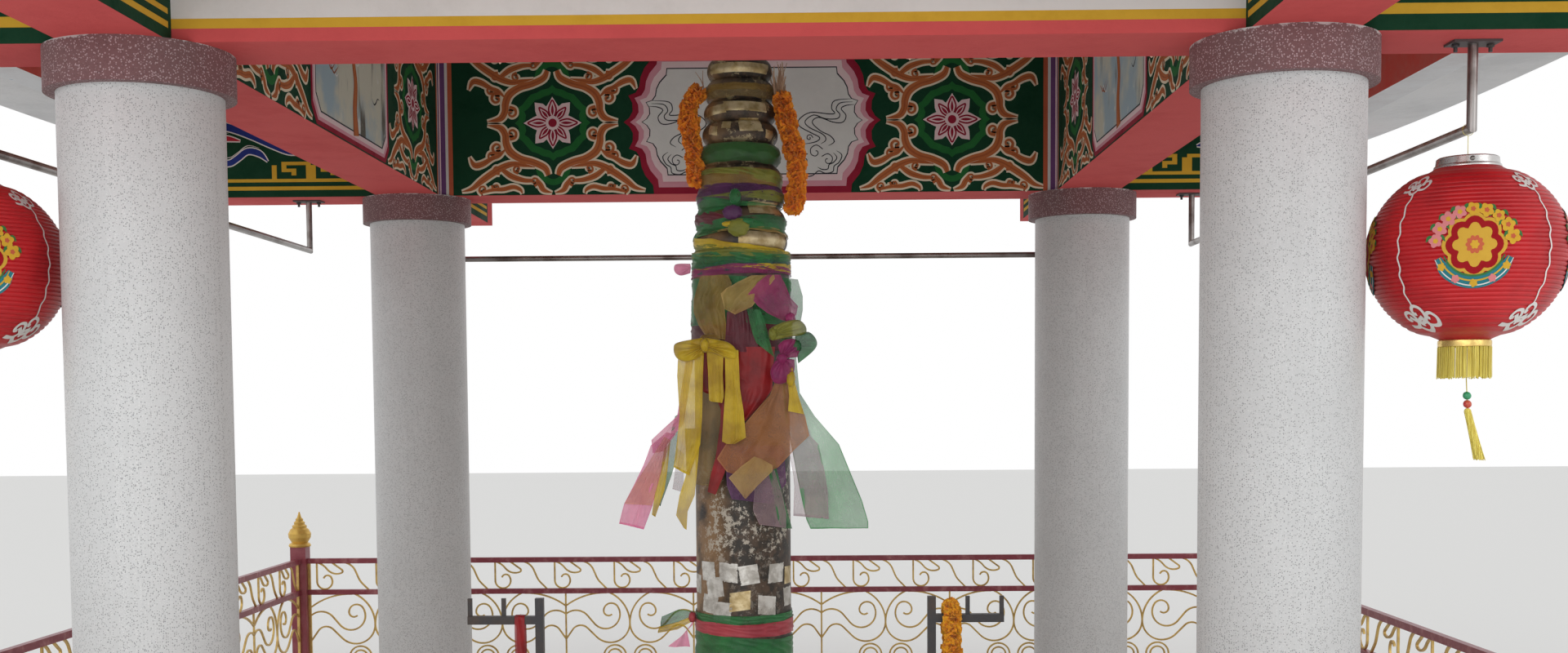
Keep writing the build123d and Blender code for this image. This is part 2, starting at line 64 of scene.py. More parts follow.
# small tools
def only(obj):
    bpy.ops.object.select_all(action="DESELECT")
    obj.select_set(True)
    bpy.context.view_layer.objects.active = obj


def named(name):
    obj = bpy.context.object
    obj.name = obj.data.name = name
    return obj


def settle(obj):
    only(obj)
    bpy.ops.object.transform_apply(location=True, rotation=True, scale=True)
    return obj


def modify(obj, kind, **values):
    only(obj)
    modifier = obj.modifiers.new(kind.lower(), kind)
    for key, value in values.items():
        setattr(modifier, key, value)
    bpy.ops.object.modifier_apply(modifier=modifier.name)
    return obj


def closeUp(obj, outwards=True):
    only(obj)
    bpy.ops.object.mode_set(mode="EDIT")
    bpy.ops.mesh.select_all(action="SELECT")
    bpy.ops.mesh.remove_doubles(threshold=0.00002)
    if outwards:
        bpy.ops.mesh.normals_make_consistent(inside=False)
    bpy.ops.object.mode_set(mode="OBJECT")
    return obj


def smooth(obj, angle=40):
    only(obj)
    bpy.ops.object.shade_smooth_by_angle(angle=math.radians(angle))
    return obj


def copyOf(obj, name, place):
    new = bpy.data.objects.new(name, obj.data.copy())
    new.data.transform(place)
    if place.determinant() < 0:
        new.data.flip_normals()
    bpy.context.scene.collection.objects.link(new)
    return new


def joined(name, objects):
    bpy.ops.object.select_all(action="DESELECT")
    for obj in objects:
        obj.select_set(True)
    bpy.context.view_layer.objects.active = objects[0]
    if len(objects) > 1:
        bpy.ops.object.join()
    return named(name)


def remove(obj):
    bpy.data.objects.remove(obj, do_unlink=True)


def paint(obj, look):
    obj.data.materials.clear()
    obj.data.materials.append(look)
    return obj


def shapedGrid(name, columns, rows, place):
    # a flat grid whose points are moved to place(u, v)
    bpy.ops.object.select_all(action="DESELECT")
    bpy.ops.mesh.primitive_grid_add(x_subdivisions=columns, y_subdivisions=rows, size=1)
    obj = named(name)
    for vertex in obj.data.vertices:
        vertex.co = place(vertex.co.x + 0.5, vertex.co.y + 0.5)
    return obj


def lathe(name, outline, steps):
    # a turned shape from (radius, level) points
    bpy.ops.object.select_all(action="DESELECT")
    bpy.ops.mesh.primitive_grid_add(x_subdivisions=steps, y_subdivisions=len(outline) - 1, size=1)
    obj = named(name)
    for vertex in obj.data.vertices:
        turn = (vertex.co.x + 0.5) * math.tau
        radius, level = outline[round((vertex.co.y + 0.5) * (len(outline) - 1))]
        vertex.co = Vector((radius * math.cos(turn), radius * math.sin(turn), level))
    return closeUp(obj)


def blended(rows, share):
    # a row of numbers read between the listed rows, smoothly
    place = share * (len(rows) - 1)
    index = min(int(place), len(rows) - 2)
    t = place - index
    before, a, b, after = (rows[max(index - 1, 0)], rows[index], rows[index + 1],
                           rows[min(index + 2, len(rows) - 1)])
    return [0.5 * (2 * q + (r - p) * t + (2 * p - 5 * q + 4 * r - s) * t * t
                   + (3 * q - p - 3 * r + s) * t ** 3)
            for p, q, r, s in zip(before, a, b, after)]


# shader tools
def feed(tree, node, sockets):
    for key, value in sockets.items():
        if isinstance(value, bpy.types.NodeSocket):
            tree.links.new(value, node.inputs[key])
        else:
            node.inputs[key].default_value = value
    return node


def put(tree, kind, sockets=None, **settings):
    new = tree.nodes.new("ShaderNode" + kind)
    for key, value in settings.items():
        setattr(new, key, value)
    return feed(tree, new, sockets or {})


def calc(tree, operation, *values):
    return put(tree, "Math", dict(enumerate(values)), operation=operation).outputs[0]


def mixed(tree, factor, first, second):
    # each of the two is a colour or a socket
    first, second = (rgb(side) if isinstance(side, tuple) else side for side in (first, second))
    return put(tree, "Mix", {0: factor, 6: first, 7: second}, data_type="RGBA").outputs[2]


def ranged(tree, value, low, high, out=(0.0, 1.0)):
    sockets = {"Value": value, "From Min": low, "From Max": high, "To Min": out[0], "To Max": out[1]}
    return put(tree, "MapRange", sockets, interpolation_type="SMOOTHSTEP").outputs[0]


def noisy(tree, vector, scale, detail=4.0, rough=0.55):
    return put(tree, "TexNoise", {"Vector": vector, "Scale": scale, "Detail": detail,
                                  "Roughness": rough}).outputs[0]


def rgb(colour):
    return (*colour, 1.0)


def startGroup(name, inputs, outputs):
    group = bpy.data.node_groups.new(name, "ShaderNodeTree")
    for label, value in inputs:
        kind = "NodeSocketColor" if isinstance(value, tuple) else (
            "NodeSocketVector" if value is None else "NodeSocketFloat")
        socket = group.interface.new_socket(label, in_out="INPUT", socket_type=kind)
        if value is not None:
            socket.default_value = value
    for label, kind in outputs:
        group.interface.new_socket(label, in_out="OUTPUT", socket_type="NodeSocket" + kind)
    return group, group.nodes.new("NodeGroupInput").outputs, group.nodes.new("NodeGroupOutput").inputs


def weatherGroup():
    # soft stains and fine grime over a colour
    group, inputs, outputs = startGroup(
        "weather", [("Vector", None), ("Color", (1.0, 1.0, 1.0, 1.0)), ("Stain", (0.3, 0.25, 0.2, 1.0)),
                    ("Amount", 0.4), ("Scale", 2.0)], [("Color", "Color"), ("Mask", "Float")])
    broad = noisy(group, inputs["Vector"], inputs["Scale"], 6.0, 0.62)
    fine = noisy(group, inputs["Vector"], calc(group, "MULTIPLY", inputs["Scale"], 9.0), 5.0, 0.7)
    mask = ranged(group, calc(group, "ADD", broad, calc(group, "MULTIPLY", fine, 0.35)), 0.55, 0.95)
    amount = calc(group, "MULTIPLY", mask, inputs["Amount"])
    group.links.new(mixed(group, amount, inputs["Color"], inputs["Stain"]), outputs["Color"])
    group.links.new(mask, outputs["Mask"])
    return group


def chipGroup():
    # stone chips of two colours set in a ground, as in terrazzo
    group, inputs, outputs = startGroup(
        "stoneChips", [("Vector", None), ("Ground", (0.7, 0.7, 0.7, 1.0)), ("Chip", (0.4, 0.4, 0.4, 1.0)),
                       ("Fleck", (0.9, 0.9, 0.9, 1.0)), ("Scale", 120.0), ("Share", 0.4)],
        [("Color", "Color"), ("Height", "Float")])
    cells = put(group, "TexVoronoi", {"Vector": inputs["Vector"], "Scale": inputs["Scale"]})
    pick = put(group, "SeparateColor", {"Color": cells.outputs["Color"]}).outputs[0]
    near = ranged(group, cells.outputs["Distance"], 0.42, 0.3)
    chosen = ranged(group, pick, inputs["Share"], calc(group, "SUBTRACT", inputs["Share"], 0.05))
    colour = mixed(group, calc(group, "MULTIPLY", near, chosen), inputs["Ground"], inputs["Chip"])
    small = put(group, "TexVoronoi", {"Vector": inputs["Vector"],
                                      "Scale": calc(group, "MULTIPLY", inputs["Scale"], 1.9)})
    pickSmall = put(group, "SeparateColor", {"Color": small.outputs["Color"]}).outputs[1]
    fleck = calc(group, "MULTIPLY", ranged(group, small.outputs["Distance"], 0.4, 0.28),
                 ranged(group, pickSmall, 0.3, 0.22))
    group.links.new(mixed(group, fleck, colour, inputs["Fleck"]), outputs["Color"])
    group.links.new(near, outputs["Height"])
    return group


def weaveGroup():
    # fine threads along both ways of a cloth
    group, inputs, outputs = startGroup(
        "weave", [("Vector", None), ("Threads", 260.0)], [("Height", "Float"), ("Mask", "Float")])
    parts = put(group, "SeparateXYZ", {0: inputs["Vector"]}).outputs
    waves = []
    for i in (0, 1):
        wave = calc(group, "SINE", calc(group, "MULTIPLY", parts[i], inputs["Threads"]))
        waves.append(calc(group, "ABSOLUTE", wave))
    height = calc(group, "MAXIMUM", *waves)
    group.links.new(height, outputs["Height"])
    group.links.new(ranged(group, height, 0.2, 0.8), outputs["Mask"])
    return group


weather, stoneChips, weave = weatherGroup(), chipGroup(), weaveGroup()


def startMaterial(name, roughness, **constants):
    material = bpy.data.materials.new(name)
    material.use_nodes = True
    tree = material.node_tree
    shader = tree.nodes["Principled BSDF"]
    shader.inputs["Roughness"].default_value = roughness
    for key, value in constants.items():
        shader.inputs[key.replace("_", " ")].default_value = value
    return material, tree, shader, put(tree, "TexCoord").outputs["Object"]


def grouped(tree, group, **sockets):
    new = tree.nodes.new("ShaderNodeGroup")
    new.node_tree = group
    return feed(tree, new, sockets).outputs


def tinted(tree, shader, factor, first, second):
    tree.links.new(mixed(tree, factor, first, second), shader.inputs["Base Color"])


def bumped(tree, shader, height, distance, strength=0.5):
    bump = put(tree, "Bump", {"Height": height, "Distance": distance, "Strength": strength})
    tree.links.new(bump.outputs[0], shader.inputs["Normal"])


def stained(name, colour, stain, amount, scale, roughness, grain=0.0, grainScale=120.0, **constants):
    # paint, plaster or glaze with stains, worn gloss and a light grain
    material, tree, shader, place = startMaterial(name, roughness, **constants)
    out = grouped(tree, weather, Vector=place, Color=rgb(colour), Stain=rgb(stain), Amount=amount,
                  Scale=scale)
    tree.links.new(out["Color"], shader.inputs["Base Color"])
    tree.links.new(ranged(tree, out["Mask"], 0.0, 1.0, (roughness, min(1.0, roughness + 0.2))),
                   shader.inputs["Roughness"])
    if grain:
        bumped(tree, shader, noisy(tree, place, grainScale, 5.0, 0.6), grain)
    return material


def terrazzo(name, ground, chip, fleck, scale, share, roughness):
    material, tree, shader, place = startMaterial(name, roughness)
    chips = grouped(tree, stoneChips, Vector=place, Ground=rgb(ground), Chip=rgb(chip),
                    Fleck=rgb(fleck), Scale=scale, Share=share)
    out = grouped(tree, weather, Vector=place, Color=chips["Color"],
                  Stain=rgb([c * 0.72 for c in ground]), Amount=0.35, Scale=1.6)
    tree.links.new(out["Color"], shader.inputs["Base Color"])
    bumped(tree, shader, chips["Height"], 0.0006, 0.35)
    return material


def cloth(name, colour, dark, opacity, sheen=0.25):
    # thin crisp see-through cloth with a fine weave, uneven dye and denser hems
    material, tree, shader, place = startMaterial(name, 0.5, Sheen_Weight=sheen, Sheen_Roughness=0.4)
    tinted(tree, shader, ranged(tree, noisy(tree, place, 11.0, 4.0), 0.35, 0.7), colour, dark)
    thread = grouped(tree, weave, Vector=place, Threads=2600.0)["Mask"]
    uv = put(tree, "SeparateXYZ", {0: put(tree, "TexCoord").outputs["UV"]}).outputs
    inset = calc(tree, "MINIMUM", calc(tree, "MINIMUM", uv[0], calc(tree, "SUBTRACT", 1.0, uv[0])), uv[1])
    hem = ranged(tree, inset, 0.022, 0.012, (0.0, 0.22))
    body = ranged(tree, thread, 0.0, 1.0, (opacity - 0.08, opacity + 0.04))
    uneven = ranged(tree, noisy(tree, place, 5.0, 3.0), 0.3, 0.7, (-0.06, 0.06))
    total = calc(tree, "ADD", calc(tree, "ADD", body, hem), uneven)
    tree.links.new(calc(tree, "MINIMUM", total, 1.0), shader.inputs["Alpha"])
    bumped(tree, shader, noisy(tree, place, 120.0, 3.0), 0.0008, 0.3)
    return material


def petals(name, bright, deep):
    material, tree, shader, place = startMaterial(name, 0.7, Sheen_Weight=0.2)
    tinted(tree, shader, ranged(tree, noisy(tree, place, 55.0, 3.0), 0.35, 0.68), bright, deep)
    return material


print("stage: camera and studio")


def addCamera():
    yaw, pitch, roll = (math.radians(camera[key]) for key in ("yaw", "pitch", "roll"))
    data = bpy.data.cameras.new("photoCamera")
    data.lens, data.sensor_width, data.shift_y = camera["lens"], camera["sensor"], camera["shift"]
    obj = bpy.data.objects.new("photoCamera", data)
    bpy.context.scene.collection.objects.link(obj)
    turn = (Matrix.Rotation(-yaw, 4, "Z") @ Matrix.Rotation(math.radians(90) + pitch, 4, "X")
            @ Matrix.Rotation(roll, 4, "Z"))
    obj.matrix_world = Matrix.Translation(camera["eye"]) @ turn
    bpy.context.scene.camera = obj


def addStudio():
    world = bpy.data.worlds.new("studio")
    bpy.context.scene.world = world
    world.use_nodes = True
    tree = world.node_tree
    light = tree.nodes["Background"]
    light.inputs[0].default_value = (1.0, 1.0, 1.0, 1.0)
    path = put(tree, "LightPath").outputs
    seen = calc(tree, "MAXIMUM", calc(tree, "MAXIMUM", path["Is Camera Ray"], path["Is Glossy Ray"]),
                path["Is Transmission Ray"])
    tree.links.new(ranged(tree, seen, 0.0, 1.0, (studio["world"], 1.0)), light.inputs[1])
    bpy.context.scene.view_settings.view_transform = "Standard"
    for place, size, share in studio["lamps"]:
        bpy.ops.object.light_add(type="AREA", location=place)
        lamp = bpy.context.object
        lamp.data.size = size
        lamp.data.energy = studio["lampPower"] * share
        aim = Vector(studio["aim"]) - Vector(place)
        lamp.rotation_euler = aim.to_track_quat("-Z", "Y").to_euler()
    bpy.ops.mesh.primitive_plane_add(size=studio["floorSize"])
    floor = named("floor")
    material, tree, shader, place = startMaterial("paleFloor", 0.9)
    shader.inputs["Base Color"].default_value = rgb(studio["floor"])
    paint(floor, material)


addCamera()
addStudio()

print("stage: materials")

columnLook = terrazzo("columnTerrazzo", (0.61, 0.625, 0.63), (0.30, 0.31, 0.32), (0.80, 0.81, 0.81),
                      230.0, 0.52, 0.42)
beamLook = stained("beamPaint", (0.68, 0.105, 0.105), (0.52, 0.08, 0.085), 0.45, 2.5, 0.8, 0.002,
                   Specular_IOR_Level=0.2)
plasterLook = stained("whitePlaster", (0.72, 0.74, 0.76), (0.50, 0.52, 0.54), 0.5, 2.2, 0.85, 0.003, 60.0)
tileLook = stained("roofGlaze", (0.58, 0.20, 0.07), (0.30, 0.09, 0.04), 0.55, 5.0, 0.22, 0.001, 40.0,
                   Coat_Weight=0.4)
ridgeLook = stained("ridgeGlaze", (0.07, 0.26, 0.13), (0.03, 0.12, 0.07), 0.5, 5.0, 0.22, 0.001, 40.0,
                    Coat_Weight=0.4)
goldLook = stained("goldPaint", (0.72, 0.47, 0.11), (0.42, 0.24, 0.06), 0.45, 26.0, 0.36, 0.0006, 300.0,
                   Metallic=0.55)
steelLook = stained("blackPaint", (0.035, 0.035, 0.04), (0.12, 0.08, 0.05), 0.5, 12.0, 0.42, 0.0012, 180.0)
silverLook = stained("silverSheet", (0.62, 0.61, 0.60), (0.42, 0.41, 0.40), 0.3, 12.0, 0.22, 0.0001, 60.0,
                     Metallic=1.0)
# each cloth's bright and deep colour, how dense it is, and its sheen where it isn't the usual one
clothColours = {
    "green": ((0.025, 0.23, 0.06), (0.012, 0.12, 0.035), 0.72),
    "teal": ((0.012, 0.11, 0.08), (0.008, 0.06, 0.05), 0.8),
    "yellow": ((0.72, 0.52, 0.02), (0.48, 0.31, 0.012), 0.84),
    "pink": ((0.92, 0.27, 0.46), (0.76, 0.17, 0.38), 0.76),
    "leafGreen": ((0.045, 0.34, 0.09), (0.03, 0.24, 0.06), 0.66),
    "peach": ((0.82, 0.34, 0.24), (0.68, 0.24, 0.2), 0.5),
    "red": ((0.34, 0.003, 0.006), (0.18, 0.002, 0.006), 0.9, 0.08),
    "rose": ((0.50, 0.06, 0.08), (0.34, 0.03, 0.05), 0.88),
    "purple": ((0.13, 0.03, 0.13), (0.07, 0.015, 0.08), 0.72),
    "magenta": ((0.42, 0.03, 0.17), (0.26, 0.015, 0.12), 0.68),
    "ochre": ((0.34, 0.21, 0.04), (0.22, 0.12, 0.02), 0.66),
    "lime": ((0.29, 0.30, 0.04), (0.16, 0.19, 0.025), 0.70),
    "olive": ((0.28, 0.19, 0.06), (0.18, 0.12, 0.04), 0.55),
    "grey": ((0.40, 0.28, 0.30), (0.30, 0.20, 0.24), 0.46),
    "maroon": ((0.15, 0.015, 0.03), (0.08, 0.01, 0.02), 0.85),
    "veil": ((0.50, 0.20, 0.06), (0.38, 0.15, 0.05), 0.58),
    "beige": ((0.60, 0.40, 0.12), (0.46, 0.28, 0.09), 0.56),
    "moss": ((0.03, 0.13, 0.025), (0.015, 0.07, 0.015), 0.80),
}
cloths = {name: cloth(name + "Cloth", *values) for name, values in clothColours.items()}
orangePetals = petals("orangePetals", (0.98, 0.38, 0.02), (0.88, 0.24, 0.01))
yellowPetals = petals("yellowPetals", (0.92, 0.50, 0.02), (0.82, 0.32, 0.01))


def tubeLook():
    # brushed tubes, darker plates where they meet the beams
    material, tree, shader, place = startMaterial("brushedTube", 0.32)
    plate = calc(tree, "GREATER_THAN", put(tree, "SeparateXYZ", {0: place}).outputs[2],
                 tubePlate["dark"])
    worn = ranged(tree, noisy(tree, place, 9.0, 5.0), 0.4, 0.7)
    colour = mixed(tree, worn, (0.36, 0.34, 0.33), (0.15, 0.12, 0.11))
    tinted(tree, shader, plate, colour, (0.085, 0.07, 0.07))
    tree.links.new(ranged(tree, plate, 0.0, 1.0, (0.9, 0.25)), shader.inputs["Metallic"])
    tree.links.new(ranged(tree, plate, 0.0, 1.0, (0.32, 0.6)), shader.inputs["Roughness"])
    return material


def collarLook():
    # washed terrazzo with a rough rim of pale mortar
    material, tree, shader, place = startMaterial("collarTerrazzo", 0.6)
    chips = grouped(tree, stoneChips, Vector=place, Ground=rgb((0.19, 0.095, 0.10)),
                    Chip=rgb((0.48, 0.37, 0.39)), Fleck=rgb((0.10, 0.055, 0.06)), Scale=185.0, Share=0.72)
    out = grouped(tree, weather, Vector=place, Color=chips["Color"], Stain=rgb((0.12, 0.07, 0.07)),
                  Amount=0.3, Scale=4.0)
    level = calc(tree, "ADD", put(tree, "SeparateXYZ", {0: place}).outputs[2],
                 calc(tree, "MULTIPLY", noisy(tree, place, 16.0, 7.0, 0.75), 0.06))
    rim = ranged(tree, level, *collarRim)
    tinted(tree, shader, rim, out["Color"], (0.56, 0.53, 0.53))
    bumped(tree, shader, calc(tree, "ADD", chips["Height"], calc(tree, "MULTIPLY", rim, 2.0)), 0.0012, 0.5)
    return material


def edgeLook():
    # coral sides and a white underside, split by which way a face looks
    material, tree, shader, place = startMaterial("edgePaint", 0.8, Specular_IOR_Level=0.2)
    faces = put(tree, "SeparateXYZ", {0: put(tree, "NewGeometry").outputs["Normal"]}).outputs
    under = calc(tree, "LESS_THAN", faces[2], -0.5)
    colour = mixed(tree, under, (0.68, 0.11, 0.09), (0.70, 0.73, 0.76))
    out = grouped(tree, weather, Vector=place, Color=colour, Stain=rgb((0.40, 0.34, 0.34)), Amount=0.3,
                  Scale=2.4)
    chips = ranged(tree, noisy(tree, place, 7.0, 6.0, 0.7), 0.66, 0.69)
    tinted(tree, shader, calc(tree, "MULTIPLY", chips, under), out["Color"], (0.42, 0.52, 0.60))
    bumped(tree, shader, noisy(tree, place, 60.0, 5.0), 0.002)
    return material


def leafLook(name, colour, dark):
    # thin metal leaf, broken along its edges and worn through in specks
    material, tree, shader, place = startMaterial(name, 0.38, Metallic=0.75)
    worn = noisy(tree, place, 70.0, 7.0, 0.72)
    tinted(tree, shader, ranged(tree, noisy(tree, place, 30.0, 5.0), 0.35, 0.65), colour, dark)
    uv = put(tree, "SeparateXYZ", {0: put(tree, "TexCoord").outputs["UV"]}).outputs
    sides = [calc(tree, "MINIMUM", uv[i], calc(tree, "SUBTRACT", 1.0, uv[i])) for i in (0, 1)]
    inset = calc(tree, "MULTIPLY", calc(tree, "MINIMUM", *sides), 1.6)
    kept = calc(tree, "ADD", calc(tree, "MINIMUM", inset, 0.12), calc(tree, "SUBTRACT", 0.94, worn))
    tree.links.new(ranged(tree, kept, 0.36, 0.42), shader.inputs["Alpha"])
    bumped(tree, shader, noisy(tree, place, 160.0, 4.0), 0.0012, 0.6)
    return material


def floorLook():
    # square floor tiles with grout
    material, tree, shader, place = startMaterial("floorTiles", 0.5)
    tiles = put(tree, "TexBrick", {"Vector": place, "Color1": rgb((0.62, 0.57, 0.50)),
                                   "Color2": rgb((0.56, 0.52, 0.46)), "Mortar": rgb((0.34, 0.32, 0.29)),
                                   "Scale": 1.0, "Mortar Size": 0.004, "Brick Width": 0.3, "Row Height": 0.3},
                offset=0.0)
    out = grouped(tree, weather, Vector=place, Color=tiles.outputs["Color"],
                  Stain=rgb((0.30, 0.26, 0.22)), Amount=0.4, Scale=3.0)
    tree.links.new(out["Color"], shader.inputs["Base Color"])
    bumped(tree, shader, tiles.outputs["Fac"], -0.001, 0.6)
    return material


def railingLook():
    # maroon square tubes at the three rail levels and the ends, pale gold scrolls between
    material, tree, shader, place = startMaterial("railingPaint", 0.38)
    parts = put(tree, "SeparateXYZ", {0: place}).outputs
    rails = None
    for low, high in railBands:
        band = calc(tree, "MULTIPLY", calc(tree, "GREATER_THAN", parts[2], low),
                    calc(tree, "LESS_THAN", parts[2], high))
        rails = band if rails is None else calc(tree, "MAXIMUM", rails, band)
    wear = noisy(tree, place, 30.0, 5.0)
    gold = mixed(tree, ranged(tree, wear, 0.4, 0.75), (0.66, 0.46, 0.15), (0.42, 0.26, 0.08))
    maroon = mixed(tree, ranged(tree, wear, 0.45, 0.8), (0.25, 0.035, 0.055), (0.42, 0.16, 0.17))
    tinted(tree, shader, rails, gold, maroon)
    tree.links.new(ranged(tree, rails, 0.0, 1.0, (0.5, 0.0)), shader.inputs["Metallic"])
    bumped(tree, shader, noisy(tree, place, 200.0), 0.0004)
    return material


def pillarLook():
    # dark lacquer, flaked to black, tan and off-white below the cloths, old gilding on the rings
    material, tree, shader, place = startMaterial("pillarLacquer", 0.45)
    parts = put(tree, "SeparateXYZ", {0: place}).outputs
    specks = noisy(tree, place, 48.0, 8.0, 0.78)
    patches = noisy(tree, place, 9.0, 5.0, 0.6)
    cut = ranged(tree, patches, 0.35, 0.65, (0.64, 0.50))
    low = ranged(tree, parts[2], *flakes["start"])
    pale = calc(tree, "MULTIPLY", calc(tree, "MULTIPLY", calc(tree, "GREATER_THAN", specks, cut), low),
                ranged(tree, parts[0], *flakes["across"], (0.35, 1.0)))
    pale = calc(tree, "MULTIPLY", pale, ranged(tree, parts[2], *flakes["fewer"], (0.25, 1.0)))
    tan = calc(tree, "MULTIPLY", ranged(tree, parts[0], *flakes["tan"]), ranged(tree, patches, 0.35, 0.55))
    ground = mixed(tree, ranged(tree, noisy(tree, place, 22.0, 6.0, 0.7), 0.42, 0.62),
                   (0.020, 0.015, 0.010), (0.085, 0.052, 0.030))
    ground = mixed(tree, tan, ground, (0.26, 0.15, 0.065))
    colour = mixed(tree, pale, ground, (0.50, 0.46, 0.38))
    gilt = calc(tree, "MULTIPLY", calc(tree, "GREATER_THAN", parts[2], ringGuide["gilded"]),
                ranged(tree, noisy(tree, place, 19.0, 7.0, 0.7), 0.56, 0.63))
    tinted(tree, shader, gilt, colour, (0.42, 0.35, 0.21))
    tree.links.new(calc(tree, "MULTIPLY", gilt, 0.7), shader.inputs["Metallic"])
    bumped(tree, shader, specks, 0.0015)
    return material


nodeLooks = {
    "platform": floorLook(),
    "pillar_base": terrazzo("baseTerrazzo", (0.62, 0.60, 0.57), (0.40, 0.38, 0.36), (0.8, 0.79, 0.76),
                            160.0, 0.4, 0.4),
    "ceiling_slab": plasterLook, "city_pillar": pillarLook(), "roof_finial": goldLook,
    "hip_ridges": ridgeLook, "railing_finials": goldLook,
    "railing_posts": stained("maroonPaint", (0.25, 0.035, 0.055), (0.42, 0.16, 0.17), 0.4, 14.0, 0.35,
                             0.0004, 200.0),
    "rack_left": steelLook, "rack_right": steelLook}
familyLooks = {"railing_": railingLook(), "edge_beams": edgeLook(), "rail_": tubeLook(),
               "collar_": collarLook(), "column_": columnLook, "beam_": beamLook, "eaves_": plasterLook,
               "roof_slope": tileLook}
for node, obj in nodes.items():
    if node in nodeLooks:
        paint(obj, nodeLooks[node])
        continue
    for start, look in familyLooks.items():
        if node.startswith(start):
            paint(obj, look)

print("stage: beam paint")

# flat coats of paint, drawn in millimetres on a beam's face: x along it, y up from its underside
coat = {"step": 0.35, "face": 1.318, "outerFace": 1.582, "armEnd": 2.34, "underside": 2.42,
        "height": 620.0, "armHeight": 380.0}
medallion = {"reach": 852.0, "offset": 21.0, "middle": 0.975, "level": 305.0, "outline": 8.0, "slim": 0.70}


def matt(name, colour, dark, scale=7.0):
    return stained(name, colour, dark, 0.4, scale, 0.75, 0.0012, 90.0, Specular_IOR_Level=0.2)


darkGreen = matt("darkGreenPaint", (0.005, 0.050, 0.022), (0.003, 0.032, 0.015))
midGreen = matt("midGreenPaint", (0.018, 0.15, 0.035), (0.012, 0.10, 0.025))
cream = matt("creamPaint", (0.84, 0.72, 0.56), (0.66, 0.53, 0.40))
rust = matt("rustPaint", (0.52, 0.155, 0.05), (0.38, 0.10, 0.035))
umber = matt("umberPaint", (0.42, 0.11, 0.04), (0.30, 0.08, 0.03))
paleRose = matt("paleRosePaint", (0.86, 0.66, 0.68), (0.72, 0.52, 0.55))
rose = matt("rosePaint", (0.72, 0.33, 0.40), (0.56, 0.24, 0.30))
wine = matt("winePaint", (0.34, 0.014, 0.04), (0.22, 0.01, 0.03))
fieldGrey = matt("fieldGrey", (0.76, 0.75, 0.73), (0.62, 0.61, 0.60), 4.0)
inkLine = matt("inkLine", (0.035, 0.035, 0.045), (0.08, 0.08, 0.09))
white = matt("whitePaint", (0.78, 0.77, 0.75), (0.6, 0.59, 0.57), 4.0)
violet = matt("violetPaint", (0.19, 0.075, 0.22), (0.12, 0.05, 0.15))
vermilion = matt("vermilionPaint", (0.58, 0.13, 0.06), (0.42, 0.09, 0.05))
yolk = matt("yolkPaint", (0.70, 0.42, 0.04), (0.52, 0.29, 0.03))
navy = matt("navyPaint", (0.02, 0.04, 0.24), (0.015, 0.03, 0.16))
crimson = matt("crimsonPaint", (0.50, 0.03, 0.05), (0.34, 0.02, 0.04))


def sceneryLook():
    # a plain mottled landscape: water, rocks and moss
    material, tree, shader, place = startMaterial("paintedScenery", 0.6)
    broad = noisy(tree, place, 3.2, 6.0, 0.6)
    streaks = put(tree, "Mapping", {"Vector": place, "Scale": (9.0, 9.0, 2.2)}).outputs[0]
    colour = mixed(tree, ranged(tree, broad, 0.42, 0.6), (0.36, 0.47, 0.54), (0.62, 0.60, 0.50))
    rocks = ranged(tree, noisy(tree, streaks, 1.0, 6.0), 0.55, 0.68)
    colour = mixed(tree, rocks, colour, (0.10, 0.09, 0.07))
    tinted(tree, shader, ranged(tree, noisy(tree, place, 9.0, 5.0), 0.6, 0.72), colour, (0.72, 0.72, 0.68))
    return material


scenery = sceneryLook()


def fourWays(quarter, scale=1.0):
    # a closed outline from its first quarter
    outline = []
    for sx, sy, order in ((1, 1, 1), (-1, 1, -1), (-1, -1, 1), (1, -1, -1)):
        outline += [(scale * sx * x, scale * sy * y) for x, y in quarter[::order]][:-1]
    return outline


def flatShape(points, layer, look):
    bpy.ops.object.select_all(action="DESELECT")
    bpy.ops.mesh.primitive_circle_add(vertices=len(points), fill_type="NGON")
    obj = named("flatShape")
    for vertex, (x, y) in zip(obj.data.vertices, points):
        vertex.co = (x, y, layer * coat["step"])
    obj.data.update()
    if obj.data.polygons[0].normal.z < 0:
        obj.data.flip_normals()
    return paint(obj, look)


def bar(left, low, right, high, layer, look):
    return flatShape([(left, low), (right, low), (right, high), (left, high)], layer, look)


def stroke(points, widths, layer, look, grow=0.0, steps=None):
    # a brush stroke: a ribbon along a smooth line, its width read from widths
    rows = [(x, y, w + 2 * grow) for (x, y), w in zip(points, widths)]

    def place(u, v):
        x, y, width = blended(rows, u)
        ahead, behind = blended(rows, min(u + 0.01, 1.0)), blended(rows, max(u - 0.01, 0.0))
        along = Vector((ahead[0] - behind[0], ahead[1] - behind[1], 0.0)).normalized()
        off = (v - 0.5) * max(width, 0.0)
        return Vector((x - along.y * off, y + along.x * off, layer * coat["step"]))
    return paint(shapedGrid("stroke", steps or 5 * (len(points) - 1), 1, place), look)


def rosette(x, y, size, lobes, layer, look, turn=0.0, bite=0.3):
    # a filled lobed round
    def place(u, v):
        angle = math.tau * u
        r = size * v * (1 - bite + bite * abs(math.cos(lobes * (angle - turn) / 2)))
        return Vector((x + r * math.cos(angle), y + r * math.sin(angle), layer * coat["step"]))
    return paint(closeUp(shapedGrid("rosette", lobes * 6, 4, place), False), look)


def curl(x, y, radius, start, way=1):
    # centre line and widths of a curl that winds in
    points, widths = [], []
    for i in range(8):
        share = i / 7
        turn = math.radians(start) + way * share * 7.4
        r = radius * (1.0 - 0.86 * share)
        points.append((x + r * math.cos(turn), y + r * math.sin(turn)))
        widths.append(radius * (0.80 - 0.50 * share))
    return points, widths


